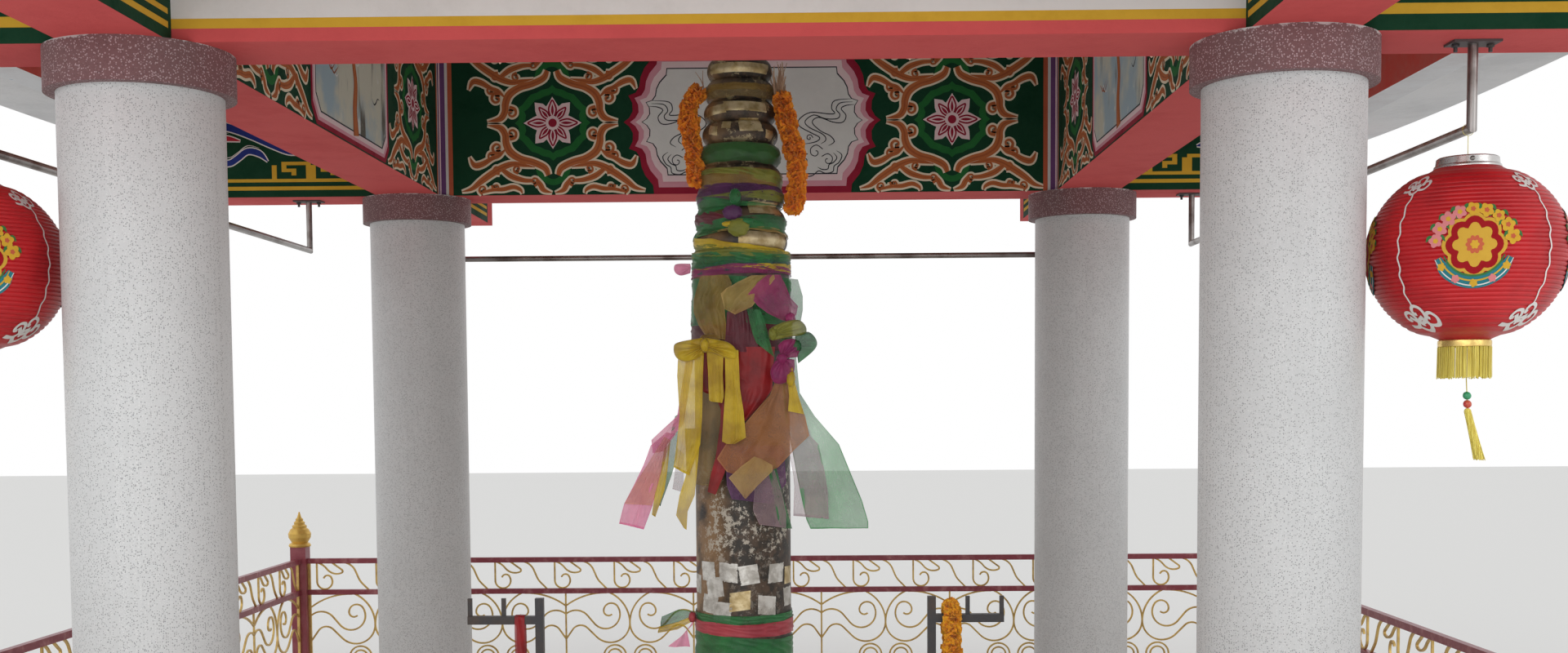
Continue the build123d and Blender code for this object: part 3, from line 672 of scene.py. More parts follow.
# one quarter of the scrolls round a medallion, from its centre: points and widths
scrolls = [
    ([(-21, 221), (-36, 190), (-85, 166), (-141, 150), (-183, 122), (-200, 86), (-204, 48), (-226, 18),
      (-280, 8)], [26, 38, 40, 42, 46, 44, 40, 34, 3]),
    ([(-206, 112), (-232, 136), (-262, 148), (-304, 172), (-338, 176), (-358, 140)], [10, 26, 26, 34, 32, 3]),
    ([(-78, 186), (-125, 178), (-170, 172), (-215, 185), (-262, 212), (-310, 245), (-350, 276), (-394, 288)],
     [4, 22, 32, 38, 40, 36, 24, 3]),
    ([(-218, 196), (-180, 224), (-130, 241), (-90, 244)], [26, 34, 28, 22]),
    ([(-72, 240), (-56, 262), (-42, 284), (-6, 296)], [22, 32, 28, 3]),
    ([(-306, 292), (-258, 281), (-215, 279), (-172, 270), (-142, 282), (-134, 300)], [14, 22, 26, 26, 20, 3]),
]
curls = [(-176, 44, 25, 110, -1), (-238, 104, 27, 60, 1), (-262, 142, 20, 300, -1), (-240, 196, 20, 60, 1),
         (-82, 246, 20, 90, -1), (-302, 280, 20, 100, 1), (-247, 268, 18, 200, -1), (-154, 194, 19, 80, 1)]


def scrollQuarter():
    drawn = scrolls + [curl(*values) for values in curls]
    parts = []
    for index, (points, widths) in enumerate(drawn):
        lift = 0.045 * index
        widths = [w * medallion["slim"] for w in widths]
        parts.append(stroke(points, widths, 2 + lift, cream, medallion["outline"]))
        parts.append(stroke(points, widths, 3 + lift, rust))
        parts.append(stroke(points, [w * 0.24 for w in widths], 4 + lift, umber))
    return joined("scrollQuarter", parts)


def petalLine(length, half, turn):
    # a closed petal outline that points along turn
    line = [(0.16, 0.0), (0.36, 0.62), (0.6, 0.9), (0.82, 0.55), (1.0, 0.0), (0.82, -0.55), (0.6, -0.9),
            (0.36, -0.62), (0.16, 0.0)]
    c, s = math.cos(turn), math.sin(turn)
    return [(length * a * c - half * b * s, length * a * s + half * b * c) for a, b in line]


def makeLotus():
    quarter = [(122, 0), (80, 24), (66, 30), (72, 48), (74, 85), (40, 80), (26, 68), (22, 74), (0, 108)]
    parts = [flatShape(fourWays(quarter, 1.02), 5, paleRose)]
    for turn in range(4):
        for angle, length, half in ((turn * 90, 96 if turn % 2 else 106, 18),
                                    (turn * 90 + 49 - 8 * (turn % 2), 86, 15)):
            outline = petalLine(length, half, math.radians(angle))
            parts.append(stroke(outline, [7] * len(outline), 6, wine, steps=28))
            c, s = math.cos(math.radians(angle)), math.sin(math.radians(angle))
            parts.append(stroke([(c * length * k, s * length * k) for k in (0.34, 0.5, 0.66, 0.82)],
                                [2, 11, 9, 1], 6, wine))
    circle = [(math.cos(math.tau * i / 28), math.sin(math.tau * i / 28)) for i in range(28)]
    parts.append(flatShape([(30 * x, 30 * y) for x, y in circle], 7, paleRose))
    parts.append(flatShape([(18 * x, 18 * y) for x, y in circle], 8, wine))
    return joined("lotus", parts)


def makeMedallion():
    quarter = scrollQuarter()
    parts = [copyOf(quarter, "quarter", Matrix.Diagonal((sx, sy, 1, 1)))
             for sx in (1, -1) for sy in (1, -1)]
    remove(quarter)
    lobe = [(162, 0), (146, 14), (142, 40), (150, 62), (128, 78), (112, 98), (92, 120), (66, 128),
            (44, 140), (16, 146), (0, 160)]
    parts += [flatShape(fourWays(lobe), 2, midGreen), flatShape(fourWays(lobe, 0.80), 3, darkGreen)]
    crown = [(-64, 186), (-52, 222), (-24, 244), (0, 250), (24, 244), (52, 222), (64, 186)]
    for sy in (1, -1):
        parts.append(stroke([(x, sy * y) for x, y in crown], [26] * 7, 1.6, midGreen))
    parts.append(makeLotus())
    return joined("medallion", parts)


cartoucheSide = [(432, -305), (436, -268), (470, -226), (486, -190), (492, -150), (508, -124), (540, -112),
                 (524, -82), (522, -46), (538, -18), (562, 0)]
cloudLines = [
    [(450, 371), (411, 367), (390, 353), (411, 325), (397, 297), (355, 297), (292, 318), (263, 297),
     (299, 261), (341, 240), (359, 215), (334, 198)],
    [(436, 395), (362, 388), (348, 356), (362, 335), (334, 332), (256, 339), (207, 311), (207, 282),
     (256, 254), (295, 233), (278, 215), (221, 205)],
    [(440, 382), (386, 378), (368, 352), (384, 330), (372, 312), (320, 312), (270, 328), (232, 302),
     (250, 276), (310, 246), (322, 222), (300, 206)],
    [(369, 177), (392, 158), (380, 128), (358, 112), (352, 88), (318, 82), (290, 92), (262, 72), (224, 70),
     (214, 96), (186, 98), (180, 130)],
    [(355, 168), (370, 148), (356, 128), (336, 118), (330, 100), (306, 98), (286, 108)],
]
cloudCurls = [(277, 172, 34, 20, 1), (330, 138, 30, 150, -1), (228, 138, 30, 60, 1), (250, 232, 16, 0, 1)]


def makeCartouche():
    side = cartoucheSide + [(x, -y) for x, y in cartoucheSide[-2::-1]]
    edge = side + [(-x, y) for x, y in side[::-1]]
    parts = []
    for inset, layer, look in ((0, 5, wine), (28, 6, rose), (52, 7, paleRose), (78, 8, inkLine),
                               (83, 9, fieldGrey)):
        sx, sy = (562 - inset) / 562, (305 - inset) / 305
        parts.append(flatShape([(x * sx, y * sy + 305) for x, y in edge], layer, look))
    for flip in (1, -1):
        for line in cloudLines:
            width = [1.5] + [4.5] * (len(line) - 2) + [1.5]
            parts.append(stroke([(flip * x, y) for x, y in line], width, 10, inkLine, steps=44))
        for x, y, r, start, way in cloudCurls:
            points, widths = curl(x, y, r, start, way)
            parts.append(stroke([(flip * a, b) for a, b in points], [4.0] * 8, 10, inkLine, steps=30))
    return joined("cartouche", parts)


def makePanel():
    # the side beams' middle picture with its borders
    parts = []
    for inset, layer, look in ((0, 5, wine), (16, 6, rose), (28, 7, paleRose), (44, 8, inkLine),
                               (49, 9, scenery)):
        half, low, high, cut = 470 - inset, 5 + inset, 602 - inset, 52
        parts.append(flatShape([(-half, low + cut), (-half + cut, low), (half - cut, low), (half, low + cut),
                                (half, high - cut), (half - cut, high), (-half + cut, high),
                                (-half, high - cut)], layer, look))
    trunk = [(30, 40), (18, 130), (34, 220), (8, 310), (24, 400), (10, 470)]
    parts.append(stroke(trunk, [60, 44, 38, 30, 22, 10], 10, umber, 3))
    parts.append(stroke(trunk, [40, 28, 22, 16, 12, 4], 11, rust))
    for x, y, size in ((70, 330, 34), (-40, 380, 40), (60, 430, 38), (-20, 470, 34), (100, 400, 26),
                       (-80, 330, 24)):
        look = rust if size > 35 else vermilion
        parts.append(rosette(x, y, size, 6, 11 + size * 0.01, look, size, 0.35))
    rng = random.Random(8)
    for i in range(9):
        x, y = rng.uniform(-320, 240), rng.uniform(130, 500)
        line = [(x + k * 26, y + 16 * math.sin(k * 1.4 + i)) for k in range(5)]
        parts.append(stroke(line, [1, 5, 7, 5, 1], 10, (inkLine, fieldGrey, umber)[i % 3], steps=14))
    return joined("panel", parts)


def innerFace(middle, unit, offset=0.0, narrow=1.0):
    half = 1000 * coat["face"] - 0.5
    parts = [bar(-half, 0.5, half, coat["height"] - 0.5, 1, darkGreen)]
    for side in (-1, 1):
        place = (side * medallion["reach"] + offset, medallion["level"], 0)
        parts.append(copyOf(unit, "unit", Matrix.Translation(place)))
    bands = ((1261, 1280, vermilion), (1280, 1292, white), (1292, 1312, violet), (1312, half, paleRose))
    for side in (-1, 1):
        for near, far, look in bands:
            left, right = sorted((side * near, side * far))
            parts.append(bar(left, 0.5, right, coat["height"] - 0.5, 3, look))
    place = Matrix.Translation((offset, 0, 0)) @ Matrix.Diagonal((narrow, 1, 1, 1))
    parts.append(copyOf(middle, "middle", place))
    return joined("innerFace", parts)


def outerFace():
    # bare white field in a yellow line with notched corners over a coral edge
    half = 1000 * coat["outerFace"] - 0.5
    parts = [bar(-half, 33, half, coat["armHeight"] - 2, 1, yolk)]
    inner, top = half - 24, coat["armHeight"] - 2
    corner = [(inner, 103), (inner - 14, 101), (inner - 32, 89), (inner - 44, 71), (inner - 46, 57)]
    edge = corner + [(-x, y) for x, y in corner[::-1]] + [(-inner, top), (inner, top)]
    parts.append(flatShape(edge, 2, white))
    return joined("outerFace", parts)


def fret(left, right, low, layer):
    # a square meander between two levels
    wide, tall, parts, x = 21.0, 14.5, [], left
    while x + 8 * wide <= right + 1:
        for a, b, c, d in ((0, 0, 1, 4), (0, 4, 6, 5), (5, 2, 6, 4), (3, 2, 5, 3), (3, 1, 4, 2),
                           (7, 0, 8, 4)):
            parts.append(bar(x + a * wide, low + b * tall, x + c * wide, low + d * tall, layer, yolk))
        x += 8 * wide
    return parts


def armFace(pattern):
    # a cantilever's side, from the column outwards
    length = 1000 * (coat["armEnd"] - coat["outerFace"]) - 1
    top = coat["armHeight"] - 1
    parts = [bar(0.5, 0.5, length, top, 1, darkGreen)]
    if pattern == "fret":
        parts += [bar(20, 30, length - 20, 46, 2, yolk), bar(20, 64, length - 20, 78, 2, yolk)]
        parts += fret(122, 460, 78, 2)
        swirls = (
            (navy, 30, [(745, 306), (690, 308), (620, 292), (540, 262), (450, 222), (380, 196), (330, 184)]),
            (navy, 24, [(740, 178), (690, 152), (640, 146), (604, 166), (560, 196), (510, 186), (474, 152)]),
            (crimson, 20, [(740, 262), (690, 252), (640, 250), (590, 240)]),
            (navy, 30, [(330, 340), (250, 320), (170, 290), (90, 276), (24, 284)]),
            (crimson, 22, [(240, 250), (180, 236), (120, 240), (70, 226)]))
        for order, (look, width, points) in enumerate(swirls):
            widths = [width * k for k in ([0.5] + [1.0] * (len(points) - 2) + [0.12])]
            parts.append(stroke(points, widths, 3 + 0.1 * order, white, 5))
            parts.append(stroke(points, widths, 4 + 0.1 * order, look))
            raised = [(x, y + 24) for x, y in points[:-1]]
            parts.append(stroke(raised, [3.0] * (len(raised) - 1) + [1.0], 5, white))
    else:
        parts.append(bar(34, 40, length - 34, top - 20, 2, yolk))
        field = [(92, 66), (length - 62, 66), (length - 62, top - 46), (62, top - 46), (62, 96), (92, 96)]
        parts.append(flatShape(field, 3, darkGreen))
        parts.append(bar(120, 120, length - 110, 150, 4, yolk))
    return joined("armFace", parts)


def layOn(source, turn, out, sideways=0.0, flip=1):
    # a painted face set on its beam: drawn x runs along the beam, y up
    stand = Matrix(((flip, 0, 0, 0), (0, 0, -1, 0), (0, 1, 0, 0), (0, 0, 0, 1)))
    place = (Matrix.Rotation(math.radians(90 * turn), 4, "Z")
             @ Matrix.Translation((sideways, out, coat["underside"])) @ stand @ Matrix.Scale(0.001, 4))
    return copyOf(source, "face", place)


def paintBeams():
    unit = makeMedallion()
    cartouche, panel = makeCartouche(), makePanel()
    mainFace = innerFace(cartouche, unit, medallion["offset"], medallion["middle"])
    sideFace = innerFace(panel, unit)
    outer, fretArm, frameArm = outerFace(), armFace("fret"), armFace("frame")
    for turn, side in enumerate(("back", "left", "front", "right")):
        inner = mainFace if side in ("front", "back") else sideFace
        parts = [layOn(inner, turn, coat["face"]), layOn(outer, turn + 2, -coat["outerFace"])]
        for flip in (-1, 1):
            start = flip * coat["outerFace"]
            parts += [layOn(fretArm, turn, coat["face"], start, flip),
                      layOn(frameArm, turn + 2, -coat["outerFace"], start, flip)]
        piece = joined("beam_paint_" + side, parts)
        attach(piece, "pavilion")
    for obj in (unit, cartouche, panel, mainFace, sideFace, outer, fretArm, frameArm):
        remove(obj)


paintBeams()

print("stage: roof tiles")

roof = {"stations": ((2.46, 2.86), (1.25, 3.28), (0.15, 4.14)), "pitch": 0.205, "rows": 11,
        "radius": 0.046, "tileLength": 0.3, "lap": 0.006, "beside": 0.0641, "steps": 60}


def slopePoint(t):
    (r0, z0), (r1, z1), (r2, z2) = roof["stations"]
    a, b, c = (1 - t) ** 2, 2 * t * (1 - t), t * t
    return a * r0 + b * r1 + c * r2, a * z0 + b * z1 + c * z2


def slopeTime(reach):
    (r0, _), (r1, _), (r2, _) = roof["stations"]
    a, b = r0 - 2 * r1 + r2, 2 * (r1 - r0)
    return (-b - math.sqrt(b * b - 4 * a * (r0 - reach))) / (2 * a)


def tileRow(x):
    # one run of round tiles from the eave up to the hip, each lapping the next
    top = roof["stations"][2][0]
    steps = max(6, round(roof["steps"] * slopeTime(max(abs(x) + roof["beside"], top))))

    def place(u, v):
        turn = math.pi * (1 - u)
        across = roof["radius"] * math.cos(turn)
        t = v * slopeTime(max(abs(x + across) + roof["beside"], top))
        reach, level = slopePoint(t)
        ahead, above = slopePoint(min(t + 0.01, 1.01))
        normal = Vector((0.0, ahead - reach, above - level)).normalized()
        normal = Vector((0.0, -normal.z, -normal.y))
        run = (roof["stations"][0][0] - reach) * 1.15
        radius = roof["radius"] + roof["lap"] * (1 - (run / roof["tileLength"]) % 1.0)
        return Vector((x + radius * math.cos(turn), -reach, level)) + normal * (radius * math.sin(turn))
    return shapedGrid("tileRow", 8, steps, place)


def makeRoof():
    slope = joined("roofTiles", [tileRow(i * roof["pitch"]) for i in range(-roof["rows"], roof["rows"] + 1)])
    modify(slope, "SOLIDIFY", thickness=0.010, offset=-1.0)
    smooth(slope)
    paint(slope, tileLook)
    for name, turns in (("roof_tiles_front_back", (0, 2)), ("roof_tiles_sides", (1, 3))):
        sides = [copyOf(slope, "slope", Matrix.Rotation(math.radians(90 * turn), 4, "Z")) for turn in turns]
        piece = joined(name + "_rows", sides)
        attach(piece, "pavilion")
        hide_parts(name)
    remove(slope)


makeRoof()

print("stage: flowers")

marigold = {"petals": 74, "size": 0.021, "length": 0.9, "bend": 0.35, "head": 0.026}
garland = {"gap": 0.0165, "scale": 1.12, "rackGap": 0.017, "rackScale": 0.9, "rackSeed": 21}
dryStems = {"count": 46, "thickness": 0.0014, "foot": (0.136, 2.545), "tip": (0.134, 2.60), "tall": 0.085}


def makePetal():
    width, length = marigold["size"], marigold["size"] * marigold["length"]

    def place(u, v):
        x = (u - 0.5) * width * (0.45 + 1.1 * v - 0.75 * v * v)
        ruffle = 0.12 * length * math.sin(u * 9.0) * v
        return Vector((x, ruffle + marigold["bend"] * length * v * v, length * v))
    return shapedGrid("petal", 3, 2, place)


def makeHead(name, look, seed):
    # a round flower of many small ruffled petals
    rng = random.Random(seed)
    petal = makePetal()
    parts = []
    for i in range(marigold["petals"]):
        up = 1 - 2 * (i + 0.5) / marigold["petals"]
        turn = i * 2.39996 + rng.uniform(-0.3, 0.3)
        flat = math.sqrt(1 - up * up)
        out = Vector((flat * math.cos(turn), flat * math.sin(turn), up * 0.55))
        spin = Matrix.Rotation(rng.uniform(0, math.tau), 4, "Z")
        lean = out.to_track_quat("Z", "Y").to_matrix().to_4x4()
        start = out * marigold["head"] * rng.uniform(0.35, 0.55)
        parts.append(copyOf(petal, "part", Matrix.Translation(start) @ lean @ spin))
    remove(petal)
    return paint(joined(name, parts), look)


def pathPoints(route, gap):
    # evenly spaced places along a smooth curve through the route
    fine = [Vector(blended(route, i / 200)) for i in range(201)]
    points, run = [(fine[0], (fine[1] - fine[0]).normalized())], 0.0
    for a, b in zip(fine, fine[1:]):
        run += (b - a).length
        if run >= gap:
            run -= gap
            points.append((b, (b - a).normalized()))
    return points


def makeGarland(name, route, head, gap, scale, seed):
    rng = random.Random(seed)
    parts = []
    for point, along in pathPoints(route, gap):
        size = scale * rng.uniform(0.88, 1.1)
        turn = (along.to_track_quat("Z", "Y").to_matrix().to_4x4()
                @ Matrix.Rotation(rng.uniform(0, math.tau), 4, "Z")
                @ Matrix.Rotation(rng.uniform(-0.3, 0.3), 4, "X"))
        place = point + Vector([rng.uniform(-0.004, 0.004) for _ in range(3)])
        parts.append(copyOf(head, "part", Matrix.Translation(place) @ turn @ Matrix.Scale(size, 4)))
    piece = joined(name, parts)
    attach(piece, "pavilion")
    return piece


orangeHead = makeHead("orangeHead", orangePetals, 3)
yellowHead = makeHead("yellowHead", yellowPetals, 4)
garlandRoutes = {
    "garland_left": [(-0.138, 2.585), (-0.166, 2.555), (-0.174, 2.50), (-0.169, 2.45), (-0.157, 2.38),
                     (-0.153, 2.32), (-0.155, 2.285)],
    "garland_right": [(0.144, 2.565), (0.156, 2.50), (0.172, 2.44), (0.186, 2.38), (0.196, 2.31),
                      (0.192, 2.24), (0.182, 2.18)]}
for node, route in garlandRoutes.items():
    points = [(x + pillarX, garlandY, z) for x, z in route]
    piece = makeGarland(node + "_flowers", points, orangeHead, garland["gap"], garland["scale"], len(node))
    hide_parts(node)
# the rack's garland: steps before and behind the arm, and levels
rackRoute = [(-0.034, 0.49), (-0.036, 0.65), (-0.034, 0.83), (-0.02, 0.893), (0.02, 0.893), (0.034, 0.83),
             (0.036, 0.65), (0.03, 0.49)]
points = [(rack["x"] + pillarX, rack["y"] + step, z) for step, z in rackRoute]
piece = makeGarland("rack_garland_flowers", points, yellowHead, garland["rackGap"],
                    garland["rackScale"], garland["rackSeed"])
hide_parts("rack_garland")
remove(orangeHead)
remove(yellowHead)


def driedStems():
    # dry stems stuck in above both garlands
    strawLook = stained("dryStraw", (0.52, 0.34, 0.22), (0.38, 0.20, 0.16), 0.6, 40.0, 0.8)
    rng = random.Random(12)
    stems = [((-0.118, 2.585), (-0.150, 2.655)), ((-0.120, 2.585), (-0.124, 2.660))]
    (footX, footZ), (tipX, tipZ) = dryStems["foot"], dryStems["tip"]
    for _ in range(dryStems["count"]):
        foot = (footX + rng.uniform(-0.006, 0.006), footZ)
        tip = (tipX + rng.uniform(-0.030, 0.030), tipZ + rng.uniform(0.0, dryStems["tall"]))
        stems.append((foot, tip))
    parts = []
    for index, (foot, tip) in enumerate(stems):
        depth, bow = rng.uniform(-0.03, 0.03), rng.uniform(-0.008, 0.008)
        turn = rng.uniform(0, math.pi)
        thick = 0.0022 if index < 2 else rng.uniform(0.002, 0.0045)

        def place(u, v):
            x = foot[0] + (tip[0] - foot[0]) * v + bow * math.sin(math.pi * v)
            side = (u - 0.5) * thick * (0.6 + math.sin(math.pi * min(1.0, v * 1.1)))
            return Vector((x + side * math.cos(turn) + pillarX, garlandY + depth * v + side * math.sin(turn),
                           foot[1] + (tip[1] - foot[1]) * v))
        parts.append(shapedGrid("stem", 1, 6, place))
    piece = joined("dried_stems", parts)
    modify(piece, "SOLIDIFY", thickness=dryStems["thickness"], offset=0.0)
    paint(piece, strawLook)
    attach(piece, "pavilion")


driedStems()

print("stage: bolts")

# corners, radius, length and rounded edge
boltParts = {"nut": (6, 0.0098, 0.008, 0.001), "stud": (16, 0.005, 0.02, 0.0008)}


def addBolts():
    # two studs with nuts under each plate of the tubes
    bpy.ops.object.select_all(action="DESELECT")
    parts = []
    for name, (corners, radius, depth, edge) in boltParts.items():
        bpy.ops.mesh.primitive_cylinder_add(vertices=corners, radius=radius, depth=depth,
                                            location=(0, 0, -depth / 2))
        parts.append(modify(settle(named(name)), "BEVEL", width=edge, segments=2))
    bolt = smooth(joined("bolt", parts), 35)
    paint(bolt, steelLook)
    for tube in ("left", "right", "back"):
        plates = []
        for vertex in nodes["rail_" + tube].data.vertices:
            if vertex.co.z > tubePlate["body"]:
                for plate in plates:
                    if (plate[0] - vertex.co).length < tubePlate["reach"]:
                        plate.append(vertex.co.copy())
                        break
                else:
                    plates.append([vertex.co.copy()])
        bolts = []
        for corners in plates:
            lowest = Vector([min(c[i] for c in corners) for i in range(3)])
            highest = Vector([max(c[i] for c in corners) for i in range(3)])
            middle, reach = (lowest + highest) / 2, (highest - lowest) / 2
            long = 1 if reach.y > reach.x else 0
            for side in (-1, 1):
                place = Vector((middle.x, middle.y, tubePlate["boltTop"]))
                place[long] += side * (reach[long] - tubePlate["boltInset"])
                bolts.append(copyOf(bolt, "bolt", Matrix.Translation(place)))
        piece = joined("bolts_" + tube, bolts)
        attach(piece, "pavilion")
    remove(bolt)


addBolts()

print("stage: cloths")

# sheets that hang before the pillar, by the solid that they replace: y, cloth, how many folds and how
# deep, then rows of left x, level, right x, level, in millimetres from the pillar's axis
sheets = {
    "cloth_tail_front": {
        "olive": (-186, "olive", 3, 5, [
            (-133, 1700, -44, 1700), (-138, 1453, -56, 1453), (-146, 1350, -74, 1343),
            (-152, 1250, -89, 1243)]),
        "purple": (-184, "purple", 3, 5, [
            (-54, 1380, 146, 1380), (-47, 1246, 152, 1252), (-31, 1201, 100, 1184)]),
        "red": (-193, "red", 6, 8, [
            (-127, 1712, 118, 1712), (-125, 1618, 110, 1616), (-125, 1563, 108, 1568),
            (-82, 1545, 76, 1527), (-49, 1460, 17, 1463)]),
        "red_strip": (-197, "red", 2, 5, [
            (-61, 1580, 4, 1580), (-67, 1453, -14, 1453), (-84, 1343, -38, 1343), (-100, 1288, -56, 1285),
            (-113, 1226, -85, 1216)]),
    },
    "cloth_tail_left": {
        "pink_upper": (-104, "pink", 2, 4, [
            (-186, 1690, -160, 1690), (-222, 1481, -200, 1453), (-312, 1399, -244, 1405),
            (-308, 1354, -268, 1361)]),
        "pink": (-107, "pink", 4, 7, [
            (-259, 1425, -228, 1418), (-314, 1380, -260, 1380), (-339, 1314, -267, 1320),
            (-370, 1251, -288, 1258), (-408, 1180, -310, 1174), (-426, 1111, -342, 1090)]),
        "peach_over": (-114, "peach", 2, 4, [
            (-266, 1411, -244, 1397), (-326, 1314, -272, 1314), (-369, 1248, -290, 1247),
            (-407, 1180, -313, 1174)]),
        "yellow_strip": (-110, "yellow", 1, 4, [
            (-267, 1366, -246, 1395), (-282, 1286, -258, 1292), (-300, 1223, -268, 1226),
            (-313, 1142, -301, 1133)]),
        "green_strip": (-101, "green", 1, 4, [
            (-230, 1480, -200, 1500), (-252, 1394, -220, 1435), (-262, 1299, -224, 1341),
            (-282, 1208, -246, 1271), (-289, 1173, -284, 1170)]),
        "grey_left": (-99, "grey", 1, 3, [
            (-222, 1370, -200, 1350), (-237, 1257, -203, 1243), (-242, 1229, -206, 1218)]),
    },
    "cloth_tail_right": {
        "green": (-192, "leafGreen", 4, 9, [
            (138, 1745, 190, 1745), (138, 1665, 190, 1665), (142, 1574, 200, 1557), (150, 1485, 250, 1478),
            (170, 1383, 332, 1382), (190, 1273, 376, 1272), (207, 1190, 410, 1189), (220, 1128, 430, 1119),
            (234, 1096, 430, 1096)]),
        "grey": (-200, "grey", 3, 6, [
            (155, 1590, 180, 1590), (160, 1414, 236, 1410), (163, 1356, 263, 1382), (177, 1280, 283, 1286),
            (180, 1239, 293, 1217), (176, 1142, 296, 1129)]),
        "low_grey": (-190, "grey", 2, 4, [
            (51, 1360, 91, 1365), (46, 1232, 138, 1218), (40, 1163, 152, 1149), (62, 1114, 151, 1101)]),
        "low_green": (-188, "green", 2, 4, [
            (77, 1350, 115, 1330), (104, 1246, 140, 1211), (124, 1130, 166, 1120), (140, 1100, 172, 1098)]),
    },
    "cloth_tail_veil": {
        "veil": (-212, "veil", 5, 9, [
            (122, 1605, 178, 1612), (101, 1551, 172, 1580), (55, 1500, 199, 1526), (17, 1456, 219, 1475),
            (-45, 1392, 231, 1412), (-79, 1338, 181, 1366), (-46, 1294, 126, 1307), (-18, 1285, 91, 1293)]),
        "veil_corner": (-220, "beige", 2, 5, [
            (47, 1345, 72, 1336), (-1, 1309, 107, 1315), (-39, 1274, 108, 1296), (-12, 1239, 57, 1247),
            (14, 1204, 18, 1204)]),
        "small_tails": (-222, "yellow", 2, 4, [
            (160, 1600, 182, 1600), (165, 1547, 196, 1547), (161, 1496, 215, 1485)]),
    },
    "cloth_tail_yellow": {
        "yellow_lower": (-224, "yellow", 2, 4, [
            (-186, 1440, -131, 1440), (-182, 1290, -146, 1297), (-207, 1215, -155, 1215),
            (-220, 1147, -180, 1160), (-194, 1105, -184, 1098)]),
        "yellow_upper": (-232, "yellow", 5, 9, [
            (-205, 1700, -118, 1700), (-210, 1617, -122, 1617), (-203, 1482, -127, 1474),
            (-213, 1400, -134, 1386), (-226, 1310, -173, 1282)]),
        "yellow_middle": (-228, "yellow", 3, 6, [
            (-109, 1702, -52, 1702), (-105, 1617, -56, 1616), (-103, 1535, -53, 1545),
            (-97, 1530, -59, 1525)]),
        "yellow_right": (-231, "yellow", 4, 7, [
            (-48, 1700, -3, 1700), (-47, 1576, 1, 1575), (-53, 1494, 13, 1494), (-60, 1396, 20, 1409),
            (-44, 1388, -17, 1388)]),
    },
    "cloth_knots": {
        "loop_green_behind": (-190, "green", 2, 5, [
            (-41, 1952, 27, 1947), (-14, 1923, 20, 1916), (-11, 1828, 26, 1838), (-1, 1794, 40, 1794)]),
        "loop_maroon": (-192, "maroon", 3, 7, [
            (-42, 1830, 44, 1845), (-45, 1774, 55, 1780), (-50, 1733, 60, 1722), (-43, 1699, 66, 1691)]),
        "loop_green": (-150, "green", 3, 8, [
            (140, 1946, 196, 1941), (146, 1896, 212, 1885), (173, 1851, 212, 1837),
            (180, 1800, 205, 1800)]),
        "loop_ochre": (-196, "ochre", 4, 14, [
            (-129, 1951, -37, 1951), (-142, 1910, -24, 1922), (-153, 1870, -55, 1886),
            (-154, 1829, -50, 1845), (-137, 1785, -45, 1787), (-111, 1745, -48, 1736)]),
        "loop_green_slant": (-203, "green", 2, 6, [
            (27, 1839, 69, 1835), (35, 1793, 88, 1784), (45, 1752, 102, 1725), (57, 1724, 116, 1677)]),
        "loop_peach": (-207, "beige", 3, 12, [
            (43, 1949, 130, 1951), (0, 1929, 96, 1908), (-41, 1907, 65, 1874), (-61, 1889, 44, 1846),
            (-48, 1838, -14, 1819)]),
        "loop_magenta": (-211, "magenta", 3, 12, [
            (96, 1951, 138, 1951), (63, 1925, 156, 1914), (30, 1886, 172, 1873), (63, 1847, 196, 1847),
            (95, 1823, 190, 1817), (144, 1799, 163, 1800)]),
    },
}

# loops pulled out of a knot: knot x, level, y, how full, folds, cloth, edge points from one side to the other
loops = [
    (-118, 1712, -226, 30, 5, "yellow", [(-122, 1742), (-205, 1727), (-219, 1705), (-210, 1677), (-185, 1664),
                                         (-150, 1668), (-122, 1686)]),
    (-112, 1716, -228, 30, 5, "yellow", [(-112, 1742), (-41, 1728), (-9, 1700), (-8, 1674), (-34, 1670),
                                         (-69, 1684), (-112, 1698)]),
    (140, 1672, -206, 26, 4, "magenta", [(128, 1715), (150, 1734), (186, 1736), (203, 1710), (193, 1676)]),
    (145, 1673, -208, 26, 4, "magenta", [(183, 1668), (182, 1629), (155, 1592), (117, 1590), (102, 1626),
                                         (118, 1664)]),
    (188, 1715, -200, 26, 4, "green", [(186, 1750), (231, 1760), (258, 1731), (250, 1700), (196, 1655)]),
    (110, 1752, -206, 28, 5, "lime", [(112, 1778), (149, 1794), (197, 1800), (222, 1778), (219, 1752),
                                      (176, 1744), (112, 1732)]),
    (-170, 1990, -60, 14, 3, "pink", [(-172, 2002), (-222, 2000), (-226, 1975), (-205, 1962), (-172, 1970)]),
]
# tight knots: x, y, level, half sizes, cloth
knots = [(-115, -236, 1716, 15, 20, 24, "yellow"), (142, -212, 1672, 20, 22, 18, "magenta"),
         (190, -206, 1712, 18, 18, 22, "green"), (171, -214, 1606, 15, 14, 28, "yellow"),
         (112, -206, 1754, 16, 18, 22, "lime"), (171, -214, 1634, 9, 9, 12, "yellow"),
         (-100, -196, 1738, 34, 18, 20, "ochre"), (170, -190, 1806, 18, 14, 20, "magenta")]
